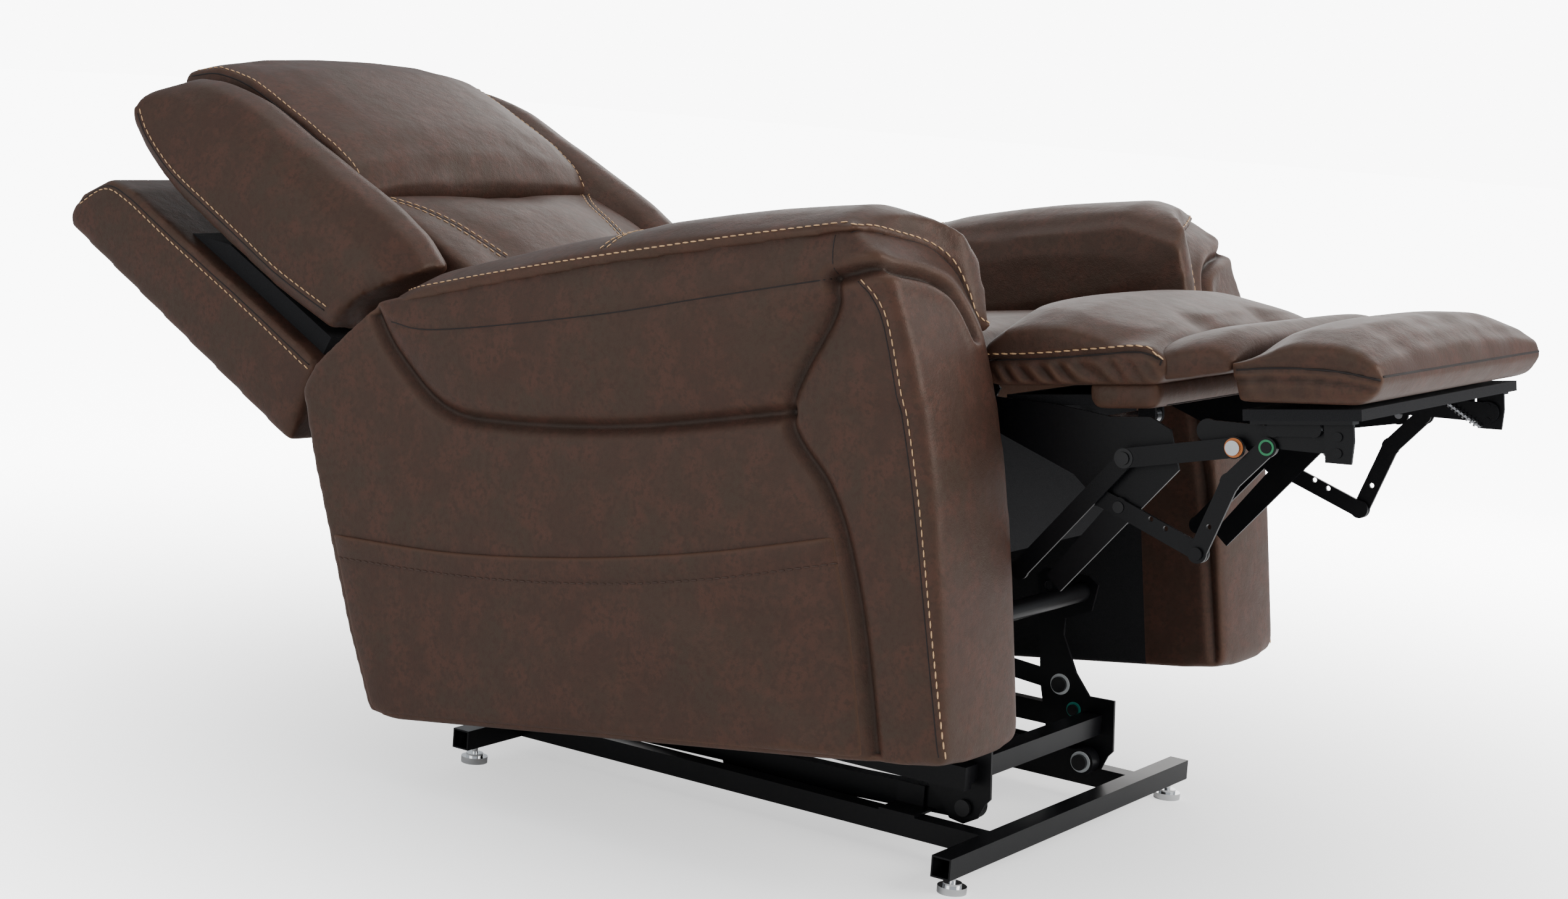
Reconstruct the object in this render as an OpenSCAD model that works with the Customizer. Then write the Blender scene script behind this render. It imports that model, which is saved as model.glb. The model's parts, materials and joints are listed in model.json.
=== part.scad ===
// Lift recliner chair: steel lift base, reclining back, folding three-pad leg rest.
// +X is the sitter's left, the chair faces -Y, +Z is up. The origin is on the floor
// under the middle of the base. Outlines in the side plane are [forward, up].

/* [Base] */
// Length of the two foot bars
foot_bar_l = 631; // [600:1:660]
// Distance between the foot bars' outer faces
base_l = 726; // [720:1:730]
// Side of the square foot-bar tube
foot_bar_s = 25; // [24:1:26]
// Diameter of a levelling foot
foot_d = 34; // [30:1:40]

/* [Body] */
// Distance between the arms' outer faces
chair_w = 886; // [880:1:900]
// Width of one arm
arm_w = 176; // [170:1:178]
// Front-up tilt of the seat and arms
chassis_tilt = 7.5; // [7.5:0.1:7.5]
// Slope of the back above the seat plane
back_slope = 30; // [30:1:32]

/* [Upholstery] */
// Half width of the seat cushion and leg pads
pad_half_w = 262; // [255:1:263]
// Half width of the back shell
back_half_w = 350; // [340:1:352]
// Half width of the headrest pad and back cushion
head_half_w = 232; // [225:1:234]

/* [Hidden] */
$fn = 48;
gap = 0.05;             // radial clearance of a pin in its bore
open_gap = 6.2;         // radial clearance at an open linkage pivot
arm_in = chair_w / 2 - arm_w;
arm_out = chair_w / 2;
foot_bar_x = 285;       // sideways place of the feet
foot_bar_z = 22;        // underside of the foot bars
base_rail_x = 180;      // inner face of the base's side rails

// Pivots of the lift, as [forward of the front bar's face, height]
arm_low_rear = [-640, 50];
arm_low_front = [-69, 62];
arm_up_rear = [-688, 204];
arm_up_front = [-117, 150];
tilt_pivot = [-740, 100];
plate_bolt = [-95, 121];
torque_c = [-98, 274];
lift_motor_p = [-660, 75];
lift_rod_eye = [-150, 110];

// Pivots on the seat chassis, as [forward, up] from the arms' lower front corner
chassis_o = [47, 181];
tilt_on_chassis = [-790.8, 22.4];
back_hinge = [-760, 300];
fold_pivot = [-45, 395];
guide_rear = [130, 320];
guide_bolt = [258, 333];
guide_bar = [[224, 350], [370, 337]];
bracket_rivets = [[371, 345], [370, 328]];
scissor_rear = [116, 265];
scissor_low = [209, 218];
scissor_bend = [249, 295];
scissor_top = [292, 333];
leg_motor_p = [-600, 250];
leg_rod_eye = [20, 345];
back_motor_p = [-330, 240];

// Pivots on the back, as [towards the sitter, up the back] from the back hinge
back_rod_eye = [-88.6, -16.5];
head_pivot = [100, 375];

// Sideways layers of the steel plates
lift_plate = [160, 164];
low_arm = [138, 158];
up_arm = [166, 171];
lift_rail = [178, 194];
hinge_plate = [196, 200];
seat_rail = [200, 220];
fold_plate = [220, 224];
layer_0 = [226, 230];
layer_1 = [232, 236];
layer_2 = [238, 242];
layer_3 = [244, 248];
motor_x = 60;

// ---- Frames and shared shapes ----

// Side-plane outline swept sideways between two X places
module slab(span) {
    translate([span[1], 0, 0]) rotate([90, 0, -90]) linear_extrude(span[1] - span[0]) children();
}

module both() {
    children();
    mirror([1, 0, 0]) children();
}

module on_base() {
    translate([0, -base_l / 2, 0]) children();
}

module on_chassis() {
    on_base() translate([0, -chassis_o[0], chassis_o[1]]) rotate([-chassis_tilt, 0, 0]) children();
}

module on_back() {
    on_chassis() translate([0, -back_hinge[0], back_hinge[1]])
        rotate([back_slope - 90, 0, 0]) children();
}

module disc(p, r) {
    translate(p) circle(r);
}

// Outline of a link with round ends that stand a little wider than its bar
module link(p, q, r) {
    d = q - p;
    bar_w = 1.8 * r;
    disc(p, r);
    disc(q, r);
    translate(p) rotate(atan2(d[1], d[0])) translate([0, -bar_w / 2]) square([norm(d), bar_w]);
}

// Cut or rod across the layers
module pin(p, r, span) {
    slab(span) disc(p, r);
}

module bolt(p, r, span, head_r, head_t) {
    pin(p, r, span);
    pin(p, head_r, [span[1], span[1] + head_t]);
    pin(p, head_r, [span[0] - head_t, span[0]]);
}

module ring(p, r_out, r_in, span) {
    difference() {
        pin(p, r_out, span);
        pin(p, r_in, [span[0] - 1, span[1] + 1]);
    }
}

function grow(span) = [span[0] - 1, span[1] + 1];

// ---- Base ----

module foot_bar(front_face) {
    difference() {
        translate([-foot_bar_l / 2, -front_face, foot_bar_z])
            cube([foot_bar_l, foot_bar_s, foot_bar_s]);
        translate([-foot_bar_l / 2 - 1, -front_face + 2, foot_bar_z + 2])
            cube([foot_bar_l + 2, foot_bar_s - 4, foot_bar_s - 4]);
        for (x = [-foot_bar_x, foot_bar_x])
            translate([x, -front_face + foot_bar_s / 2, foot_bar_z - 1])
                cylinder(r = 4 + gap, h = 4);
    }
}

module front_foot_bar() {
    color("#1b1b1d") on_base() foot_bar(0);
}

module rear_foot_bar() {
    color("#1b1b1d") on_base() foot_bar(foot_bar_s - base_l);
}

module base_side_rails() {
    rail_l = base_l - 2 * foot_bar_s;
    color("#1b1b1d") on_base() both() translate([base_rail_x, foot_bar_s, foot_bar_z])
        difference() {
            cube([foot_bar_s, rail_l, foot_bar_s]);
            translate([2, -1, 2]) cube([foot_bar_s - 4, rail_l + 2, foot_bar_s - 4]);
        }
}

module arm_guide_brackets() {
    inner = low_arm[1] + 2.5;
    top = foot_bar_z + foot_bar_s;
    color("#1b1b1d") on_base() both() {
        translate([inner, 112, top]) cube([base_rail_x + foot_bar_s - inner, 49, 3]);
        translate([inner, 124, top]) cube([3, 37, 28]);
    }
}

module pivot_towers() {
    tower = [[-726, 47], [-701, 47], [-701, 30], [-615, 30], [-615, 66], [-664, 212],
             [-672, 226], [-704, 226], [-712, 212], [-726, 90]];
    color("#1b1b1d") on_base() {
        both() slab(lift_plate) difference() {
            polygon(tower);
            disc(arm_low_rear, 6 + gap);
            disc(arm_up_rear, 6 + gap);
        }
        both() slab([8, 13]) link([-691, 50], lift_motor_p, 10);
        pin(lift_motor_p, 5, [-13, 13]);
        translate([-160, 690, 30]) cube([320, 11, 30]);
    }
}

module levelling_feet() {
    color("#c9ccd0") on_base() for (x = [-foot_bar_x, foot_bar_x])
        for (y = [foot_bar_s / 2, base_l - foot_bar_s / 2]) translate([x, y, 0]) {
            cylinder(d = foot_d, h = 8);
            translate([0, 0, 8]) cylinder(r = 11, h = 4);
            translate([0, 0, 12]) cylinder(r = 4, h = 24);
            translate([0, 0, foot_bar_z + 2]) cylinder(r = 8, h = 5);
        }
}

module base_pivot_bolts() {
    color("#8d9095") on_base() both() {
        bolt(arm_low_rear, 6, [137, 165], 10, 5);
        bolt(arm_up_rear, 6, [159, 172], 10, 5);
    }
}

// ---- Lift arms and lift frame ----

module lower_lift_arms() {
    color("#1b1b1d") on_base() {
        both() difference() {
            slab(low_arm) {
                link(arm_low_rear, arm_low_front, 13);
                link([-400, 47], arm_low_front, 17);
            }
            pin(arm_low_rear, 6 + gap, grow(low_arm));
            pin(arm_low_front, 6 + gap, grow(low_arm));
        }
        pin([-480, 53], 9, [-low_arm[0], low_arm[0]]);
    }
}

module upper_lift_arms() {
    color("#1b1b1d") on_base() both() difference() {
        slab(up_arm) {
            link(arm_up_rear, arm_up_front, 13);
            disc(arm_up_front, 17);
        }
        pin(arm_up_rear, 6 + gap, grow(up_arm));
        pin(arm_up_front, 6 + open_gap, grow(up_arm));
    }
}

module lift_side_plates() {
    plate = [[-88, 45], [-69, 42], [-51, 52], [-43, 70], [-36, 78], [-40, 143], [-75, 142],
             [-96, 168], [-118, 214], [-118, 236], [-82, 252], [-76, 286], [-90, 296],
             [-152, 296], [-162, 286], [-152, 215], [-146, 150], [-132, 90], [-100, 62]];
    color("#1b1b1d") on_base() both() slab(lift_plate) difference() {
        polygon(plate);
        disc(arm_low_front, 6 + gap);
        disc(arm_up_front, 6 + gap);
        disc(plate_bolt, 5 + gap);
        disc(torque_c, 12 + gap);
        disc([-145, 274], 6);
    }
}

module lift_rails() {
    ear = [8, 13];
    front = [-80, 97];
    color("#1b1b1d") on_base() {
        both() difference() {
            slab(lift_rail) {
                translate([-774, 90]) square([719, 28]);
                disc(tilt_pivot, 16);
            }
            pin(tilt_pivot, 6 + gap, grow(lift_rail));
        }
        both() slab([lift_plate[1], lift_rail[0]]) translate(front) square([25, 21]);
        slab([-lift_plate[0], lift_plate[0]]) translate(front) square(25);
        slab([-lift_rail[0], lift_rail[0]]) translate([-774, 92]) square([16, 24]);
        both() slab(ear) link([-70, 109.5], lift_rod_eye, 12);
    }
}

module torque_tube() {
    color("#2a2a2d") on_base() difference() {
        pin(torque_c, 12, [-172, 172]);
        pin(torque_c, 9, [-173, 173]);
    }
}

module lift_pivot_bolts() {
    color("#8d9095") on_base() both() {
        bolt(arm_low_front, 6, [137, 165], 10, 5);
        pin(arm_up_front, 6, [159, 172]);
        pin(arm_up_front, 10, [154, 159]);
        pin(arm_up_front, 14, [172, 176]);
        bolt(plate_bolt, 5, [159, 165], 7, 4);
        bolt(tilt_pivot, 6, [177, 201], 9, 4);
    }
}

module pivot_bushings() {
    color("#dfe3e4") on_base() both() {
        ring(arm_low_front, 13.5, 6.2, [137.1, 137.9]);
        ring(arm_low_front, 11, 6.2, [158.2, 159.8]);
        ring(arm_up_front, 13.5, 6.2, [159.1, 159.9]);
        ring(plate_bolt, 10, 5.2, [159.1, 159.9]);
        ring(arm_up_front, 11, 6.2, [164.2, 165.8]);
        ring(tilt_pivot, 11, 6.2, [194.2, 195.8]);
    }
}

// ---- Seat chassis ----

module motor_lugs(p, x, top) {
    for (s = [-1, 1]) slab([x + s * 10.5 - 2.5, x + s * 10.5 + 2.5]) {
        disc(p, 10);
        translate([p[0] - 10, p[1]]) square([20, top - p[1]]);
    }
    pin(p, 5, [x - 10, x + 10]);
}

module seat_frame() {
    rail_z = 335;
    rail_h = 42;
    color("#b98d5c") on_chassis() {
        both() slab(seat_rail) translate([-740, rail_z]) square([670, rail_h]);
        slab([-seat_rail[0], seat_rail[0]]) translate([-90, rail_z + 8]) square([20, rail_h - 8]);
        slab([-hinge_plate[0], hinge_plate[0]]) translate([-740, rail_z]) square([20, rail_h]);
        for (f = [-620, -350]) slab([-seat_rail[0], seat_rail[0]])
            translate([f, rail_z]) square([40, 15]);
        both() for (f = [-690, -420]) slab([seat_rail[1], arm_in])
            translate([f, rail_z + 10]) square([50, 30]);
        motor_lugs(leg_motor_p, motor_x, rail_z + 10);
        motor_lugs(back_motor_p, -motor_x, rail_z + 10);
    }
}

module seat_springs() {
    span = 630;
    waves = 16;
    half = 26;
    wire = 1.8;
    steps = waves * 8;
    mid = [for (i = [0:steps]) [-720 + span * i / steps, half * sin(360 * waves * i / steps)]];
    band = concat(
        [for (i = [0:steps]) mid[i] + [0, wire]],
        [for (i = [steps:-1:0]) mid[i] - [0, wire]]);
    color("#9a9da1") on_chassis() for (x = [-150:75:150])
        translate([x, 0, 366]) rotate([0, 0, -90]) linear_extrude(3.5) polygon(band);
}

module seat_cushion() {
    side = [[-735, 382], [-75, 382], [-62, 414], [-48, 418], [-50, 462], [-64, 482],
            [-134, 468], [-600, 468], [-735, 456]];
    color("#5a3a2a") on_chassis() intersection() {
        slab([-pad_half_w, pad_half_w]) polygon(side);
        union() {
            slab([-seat_rail[1], seat_rail[1]]) translate([-740, 380]) square([700, 110]);
            slab([-pad_half_w, pad_half_w]) translate([-740, 416]) square([700, 80]);
        }
    }
}

module seat_side_plates() {
    plate = [[-330, 340], [-80, 340], [-58, 382], [-45, 381], [-31, 395], [-45, 409],
             [-62, 405], [-110, 374], [-330, 374]];
    color("#1b1b1d") on_chassis() both() {
        slab(fold_plate) polygon(plate);
        pin(fold_pivot, 5, [fold_plate[1], layer_0[1] + 1]);
        pin(fold_pivot, 8, [layer_0[1] + 1, layer_0[1] + 5]);
    }
}

module rear_hinge_plates() {
    plate = [[-809, 22], [-803, 8], [-791, 4], [-779, 8], [-773, 22], [-736, 280],
             [-732, 312], [-690, 336], [-690, 374], [-738, 374], [-785, 330], [-786, 300]];
    color("#1b1b1d") on_chassis() both() slab(hinge_plate) difference() {
        polygon(plate);
        disc(tilt_on_chassis, 6 + gap);
        disc(back_hinge, 12 + gap);
    }
}

// ---- Arms ----

cord_p = [-499, 100];
arm_outline = [[-86, 0], [-774, 0], [-813, 10], [-842, 111], [-867, 223], [-888, 316],
               [-903, 410], [-881, 440], [-772, 516], [-438, 555], [-102, 584], [-106, 528],
               [-118, 490], [-181, 382], [-136, 302], [-114, 243], [-98, 150]];
arm_cavity = [[-110, 12], [-766, 12], [-803, 20], [-828, 111], [-853, 225], [-874, 318],
              [-887, 405], [-866, 432], [-764, 504], [-438, 541], [-125, 568], [-132, 500],
              [-198, 385], [-150, 302], [-130, 240], [-114, 150]];
front_outline = [[0, 2], [-82, 0], [-94, 150], [-110, 243], [-132, 302], [-176, 382],
                 [-114, 490], [-102, 528], [-98, 576], [-88, 540], [-72, 500], [-32, 464],
                 [-12, 400], [-6, 330], [4, 190], [6, 14]];
cap_outline = [[-762, 521], [-438, 559], [-96, 590], [-84, 545], [-68, 504], [-28, 469],
               [-26, 480], [-36, 515], [-46, 550], [-58, 578], [-80, 597], [-107, 607],
               [-225, 604], [-372, 596], [-500, 580], [-700, 552], [-762, 540]];

module arm_panel() {
    on_chassis() difference() {
        slab([arm_in, arm_out]) polygon(arm_outline);
        slab([arm_in + 12, arm_out - 28]) polygon(arm_cavity);
    }
}

module right_arm_panel() {
    color("#4a3025") mirror([1, 0, 0]) arm_panel();
}

// The left arm has the recess that holds the handset
module left_arm_panel() {
    color("#4a3025") difference() {
        arm_panel();
        on_chassis() {
            slab([arm_out - 20, arm_out + 1]) translate([-524, 140]) square([50, 160]);
            slab([arm_out - 15, arm_out - 5]) translate([cord_p[0] - 5, 94]) square([10, 50]);
            pin(cord_p, 4, [arm_in - 1, arm_out - 6]);
        }
    }
}

module arm_cap() {
    on_chassis() slab([arm_in + 2, arm_out - 1]) polygon(cap_outline);
}

module right_arm_cap() {
    color("#54362a") mirror([1, 0, 0]) arm_cap();
}

module left_arm_cap() {
    color("#54362a") arm_cap();
}

module arm_fronts() {
    color("#4a3025") on_chassis() both() slab([arm_in + 1, arm_out - 1]) polygon(front_outline);
}

module arm_frames() {
    color("#b98d5c") on_chassis() both() {
        for (x = [arm_in + 14, arm_out - 42]) slab([x, x + 12]) {
            translate([-760, 16]) square([630, 50]);
            translate([-760, 16]) square([50, 470]);
            translate([-200, 16]) square([50, 270]);
            translate([-760, 440]) square([500, 46]);
        }
        slab([arm_in + 26, arm_out - 42]) {
            translate([-740, 20]) square([30, 30]);
            translate([-190, 20]) square([30, 30]);
            translate([-740, 446]) square([30, 30]);
            translate([-330, 446]) square([30, 30]);
        }
    }
}

module side_pockets() {
    pocket = [[-838, 100], [-120, 100], [-118, 245], [-293, 222], [-449, 210], [-638, 210],
              [-862, 226]];
    color("#54362a") on_chassis() both() slab([arm_out, arm_out + 3]) polygon(pocket);
}

// ---- Handset ----

handset_x = arm_out - 19;
handset_t = 18;
cord_x = arm_out - 10;

module handset_body() {
    color("#202022") on_chassis() difference() {
        slab([handset_x, handset_x + handset_t]) translate([-520, 144]) square([42, 150]);
        for (z = [228:16:276]) slab([handset_x + handset_t - 4, handset_x + handset_t + 1])
            disc([-499, z], 5.6);
    }
}

module handset_button(i) {
    color("#7d8085") on_chassis() slab([handset_x + handset_t - 2, handset_x + handset_t + 1.5])
        disc([-499, 212 + 16 * i], 5.2);
}

module handset_button_1() {
    handset_button(1);
}

module handset_button_2() {
    handset_button(2);
}

module handset_button_3() {
    handset_button(3);
}

module handset_button_4() {
    handset_button(4);
}

module handset_cord() {
    cord_r = 2.5;
    color("#202022") on_chassis() {
        pin(cord_p, cord_r, [arm_in - 8, cord_x]);
        translate([cord_x, -cord_p[0], cord_p[1]]) {
            sphere(cord_r);
            cylinder(r = cord_r, h = 44);
        }
    }
}

// ---- Back and headrest ----

module back_frame() {
    lever = [-motor_x - 13, -motor_x + 13];
    color("#1b1b1d") on_back() {
        pin([0, 0], 12, [-layer_0[1] - 2, layer_0[1] + 2]);
        both() slab(layer_0) link([0, 0], [0, 300], 20);
        both() slab([206, 226]) translate([-20, 290]) square([20, 380]);
        for (u = [292, 367, 650]) slab([-207, 207]) translate([-18, u]) square([16, 16]);
        for (x = [-motor_x - 13, -motor_x + 8]) slab([x, x + 5]) link([0, 0], back_rod_eye, 14);
        both() difference() {
            slab([62, 68]) translate([-10, 363]) square([122, 24]);
            pin(head_pivot, 4 + gap, [50, 80]);
        }
    }
}

module back_shell() {
    shell = [[-104, 244], [14, 254], [45, 264], [75, 660], [66, 700], [8, 745], [-28, 754],
             [-44, 744]];
    color("#5a3a2a") on_back() difference() {
        slab([-back_half_w, back_half_w]) polygon(shell);
        slab([-240, 240]) translate([-28, 230]) square([56, 456]);
        both() slab([58, 72]) translate([20, 355]) square([70, 40]);
    }
}

module back_cushion() {
    side = [[84, 166], [150, 160], [186, 170], [205, 250], [200, 350], [60, 358], [50, 262],
            [84, 200]];
    color("#5a3a2a") on_back() slab([-head_half_w, head_half_w]) polygon(side);
}

module lower_bolsters() {
    side = [[50, 262], [222, 262], [238, 300], [240, 342], [110, 364], [58, 366]];
    color("#54362a") on_back() both() slab([240, back_half_w]) polygon(side);
}

module headrest_bracket() {
    plate = [[100, 375], [109, 378], [136, 600], [130, 601], [101, 384]];
    color("#1b1b1d") on_back() {
        difference() {
            slab([-58, 58]) {
                disc(head_pivot, 9);
                polygon(plate);
            }
            pin(head_pivot, 3, [-59, 59]);
        }
        pin(head_pivot, 4, [-69, 69]);
        both() pin(head_pivot, 7, [69, 73]);
    }
}

module headrest_pad() {
    side = [[120, 373], [215, 373], [240, 420], [262, 540], [264, 620], [252, 680], [218, 730],
            [172, 724], [139, 600], [117, 400]];
    color("#5a3a2a") on_back() slab([-head_half_w, head_half_w]) polygon(side);
}

module upper_bolsters() {
    side = [[92, 372], [250, 372], [262, 540], [240, 640], [202, 715], [168, 714], [158, 690],
            [105, 500]];
    color("#54362a") on_back() both() slab([240, back_half_w]) polygon(side);
}

// ---- Leg rest ----

module thigh_plates() {
    carrier = [[-57, 388], [-45, 352], [60, 300], [96, 262], [22, 186], [38, 168], [186, 306],
               [178, 350], [155, 364], [108, 364], [40, 378], [-32, 386]];
    color("#1b1b1d") on_chassis() both() difference() {
        slab(layer_0) {
            polygon(carrier);
            disc(fold_pivot, 14);
        }
        pin(fold_pivot, 5 + gap, grow(layer_0));
    }
}

module thigh_stays() {
    color("#1b1b1d") on_chassis() both() difference() {
        slab(layer_2) link(guide_rear, [-6, 192], 11);
        pin(guide_rear, 4 + gap, grow(layer_2));
    }
}

module thigh_board() {
    color("#b98d5c") on_chassis() {
        slab([-222, 222]) translate([-24, 376]) square([196, 12]);
        for (x = [motor_x - 13, motor_x + 8]) slab([x, x + 5]) {
            disc(leg_rod_eye, 11);
            translate([leg_rod_eye[0] - 11, leg_rod_eye[1]]) square([22, 40]);
        }
    }
}

module thigh_pad() {
    side = [[-36, 413], [-28, 413], [-28, 390], [176, 390], [186, 404], [187, 432], [165, 452],
            [121, 466], [67, 484], [0, 488], [-24, 482], [-36, 466]];
    color("#5a3a2a") on_chassis() slab([-pad_half_w, pad_half_w]) polygon(side);
}

module bridge_pad() {
    side = [[190, 406], [240, 410], [258, 416], [258, 448], [240, 462], [190, 456]];
    color("#5a3a2a") on_chassis() slab([4 - pad_half_w, pad_half_w - 4]) polygon(side);
}

module link_rivets() {
    color("#26272a") on_chassis() both() {
        pin(guide_rear, 4, [layer_0[1], layer_3[1]]);
        pin(guide_rear, 7, [layer_3[1], layer_3[1] + 3]);
        pin(scissor_rear, 4, [layer_0[1], layer_1[1] + 0.5]);
        pin(scissor_rear, 6.5, [layer_1[1] + 0.5, layer_1[1] + 1.5]);
    }
}

module rear_scissor_links() {
    color("#1b1b1d") on_chassis() both() {
        difference() {
            slab(layer_1) {
                link([90, 277], scissor_rear, 11);
                link(scissor_rear, scissor_low, 11);
            }
            pin(scissor_rear, 4 + gap, grow(layer_1));
            for (p = [[154, 253], [171, 243]]) pin(p, 3, grow(layer_1));
        }
        pin(scissor_low, 4, [layer_1[1], layer_2[1] + 1]);
        pin(scissor_low, 7, [layer_2[1] + 1, layer_2[1] + 4]);
    }
}

module front_scissor_links() {
    color("#1b1b1d") on_chassis() both() {
        difference() {
            slab(layer_2) {
                link(scissor_low, scissor_bend, 11);
                link(scissor_bend, scissor_top, 11);
            }
            pin(scissor_low, 4 + gap, grow(layer_2));
            pin(scissor_top, 4 + gap, grow(layer_2));
            pin([224, 247], 3, grow(layer_2));
        }
    }
}

module rear_guide_links() {
    color("#1b1b1d") on_chassis() both() difference() {
        slab(layer_3) link(guide_rear, guide_bolt, 12);
        pin(guide_rear, 4 + gap, grow(layer_3));
        pin(guide_bolt, 5 + gap, grow(layer_3));
    }
}

module guide_bolts() {
    color("#c9ccd0") on_chassis() both() {
        pin(guide_bolt, 5, [layer_3[0], layer_3[1] + 1]);
        pin(guide_bolt, 8, [layer_3[1] + 1, layer_3[1] + 5]);
    }
}

module front_guide_links() {
    color("#1b1b1d") on_chassis() both() {
        difference() {
            slab(layer_1) link(guide_bar[0], guide_bar[1], 13);
            for (p = bracket_rivets) pin(p, 3 + gap, grow(layer_1));
        }
        pin(scissor_top, 4, [layer_1[1] - 1, layer_2[1] + 0.5]);
        pin(scissor_top, 6, [layer_2[1] + 0.5, layer_2[1] + 1.5]);
        slab(layer_1) disc(scissor_top, 10);
    }
}

// Brackets with the rivets and pivot pins that hold the front guide and scissor links
module footrest_brackets() {
    plate = [[356, 318], [384, 316], [388, 340], [388, 362], [356, 362]];
    color("#1b1b1d") on_chassis() both() {
        slab(layer_2) {
            polygon(plate);
            link([300, 352], [345, 352], 8);
        }
        slab([layer_1[0], layer_2[1] + 8]) translate([278, 358]) square([112, 4]);
        for (p = bracket_rivets) {
            pin(p, 3, [layer_1[0] - 1, layer_2[0] + 1]);
            pin(p, 5, [layer_2[1] - 1, layer_2[1] + 2]);
        }
    }
}

module footrest_board() {
    color("#b98d5c") on_chassis() slab([-250, 250]) translate([270, 362]) square([130, 12]);
}

module footrest_pad() {
    side = [[262, 416], [270, 376], [405, 376], [420, 384], [430, 402], [424, 432], [404, 450],
            [379, 456], [332, 458], [286, 448], [262, 434]];
    color("#5a3a2a") on_chassis() slab([-pad_half_w, pad_half_w]) polygon(side);
}

// Coil spring drawn as rings on a core, with a hook pin at each end
module footrest_springs() {
    spring_a = [314, 356];
    spring_b = [361, 321];
    spring_x = layer_0[0] + 2;
    wire_r = 1.5;
    d = spring_b - spring_a;
    coils = 11;
    color("#c9ccd0") on_chassis() both() {
        slab([spring_x - wire_r, spring_x + wire_r]) link(spring_a, spring_b, wire_r);
        for (p = [spring_a, spring_b]) pin(p, wire_r, [spring_x, layer_2[0]]);
        for (i = [2:coils - 1])
            translate([spring_x, 0, 0]) rotate([90, 0, -90]) translate(spring_a + d * i / coils)
                rotate(atan2(d[1], d[0])) rotate([0, 90, 0])
                    cylinder(r = 4, h = 2, center = true);
    }
}

// ---- Motors ----

// Housing of a linear motor that points forward from its rear pivot at the origin
module motor_housing(tube_end, bore_start) {
    difference() {
        union() {
            slab([-6, 6]) link([0, 0], [26, 0], 10);
            slab([-24, 44]) translate([24, -26]) square([56, 52]);
            rotate([90, 0, 0]) cylinder(r = 15, h = tube_end);
        }
        slab([-7, 7]) disc([0, 0], 5 + gap);
        translate([0, -bore_start, 0]) rotate([90, 0, 0])
            cylinder(r = 8 + gap, h = tube_end - bore_start + 1);
        slab([-30, -6]) translate([-20, -30]) square([42, 60]);
        slab([6, 30]) translate([-20, -30]) square([42, 60]);
    }
    translate([48, -40, 0]) rotate([90, 0, 0]) cylinder(r = 24, h = 120);
}

module motor_rod(rod_start, rod_end) {
    difference() {
        union() {
            translate([0, -rod_start, 0]) rotate([90, 0, 0])
                cylinder(r = 8, h = rod_end - rod_start - 8);
            slab([-6, 6]) disc([rod_end, 0], 11);
        }
        slab([-7, 7]) disc([rod_end, 0], 5);
    }
}

// Places children at p with +forward pointing at q, in the side plane
module aimed(p, q, x) {
    d = q - p;
    translate([x, -p[0], p[1]]) rotate([-atan2(d[1], d[0]), 0, 0]) children();
}

module lift_motor() {
    color("#2c2d30") on_base() aimed(lift_motor_p, lift_rod_eye, 0) motor_housing(430, 200);
}

module lift_motor_rod() {
    color("#b9bcc0") on_base() aimed(lift_motor_p, lift_rod_eye, 0)
        motor_rod(330, norm(lift_rod_eye - lift_motor_p));
}

module leg_motor() {
    color("#2c2d30") on_chassis() aimed(leg_motor_p, leg_rod_eye, motor_x)
        motor_housing(440, 220);
}

module leg_motor_rod() {
    color("#b9bcc0") on_chassis() aimed(leg_motor_p, leg_rod_eye, motor_x)
        motor_rod(380, norm(leg_rod_eye - leg_motor_p));
}

// The back lever's end, turned from the back's frame into the chassis frame
back_eye_on_chassis = back_hinge + [
    back_rod_eye[0] * sin(back_slope) - back_rod_eye[1] * cos(back_slope),
    back_rod_eye[0] * cos(back_slope) + back_rod_eye[1] * sin(back_slope)];

module back_motor() {
    color("#2c2d30") on_chassis() aimed(back_motor_p, back_eye_on_chassis, -motor_x)
        motor_housing(380, 200);
}

module back_motor_rod() {
    color("#b9bcc0") on_chassis() aimed(back_motor_p, back_eye_on_chassis, -motor_x)
        motor_rod(290, norm(back_eye_on_chassis - back_motor_p));
}

front_foot_bar();
rear_foot_bar();
base_side_rails();
arm_guide_brackets();
pivot_towers();
levelling_feet();
base_pivot_bolts();
lower_lift_arms();
upper_lift_arms();
lift_side_plates();
lift_rails();
torque_tube();
lift_pivot_bolts();
pivot_bushings();
seat_frame();
seat_springs();
seat_cushion();
seat_side_plates();
rear_hinge_plates();
arm_frames();
right_arm_panel();
left_arm_panel();
right_arm_cap();
left_arm_cap();
arm_fronts();
side_pockets();
handset_body();
handset_cord();
handset_button_1();
handset_button_2();
handset_button_3();
handset_button_4();
back_frame();
back_shell();
back_cushion();
lower_bolsters();
headrest_bracket();
headrest_pad();
upper_bolsters();
thigh_plates();
thigh_stays();
thigh_board();
thigh_pad();
bridge_pad();
link_rivets();
rear_scissor_links();
front_scissor_links();
rear_guide_links();
guide_bolts();
front_guide_links();
footrest_brackets();
footrest_board();
footrest_pad();
footrest_springs();
lift_motor();
lift_motor_rod();
leg_motor();
leg_motor_rod();
back_motor();
back_motor_rod();
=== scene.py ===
"""Looks of the lift recliner chair: leather upholstery with contrast stitching around the steel frame."""
import json
import math

import bmesh
import bpy
import numpy as np
from mathutils import Matrix, Vector
from mathutils.bvhtree import BVHTree


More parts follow.
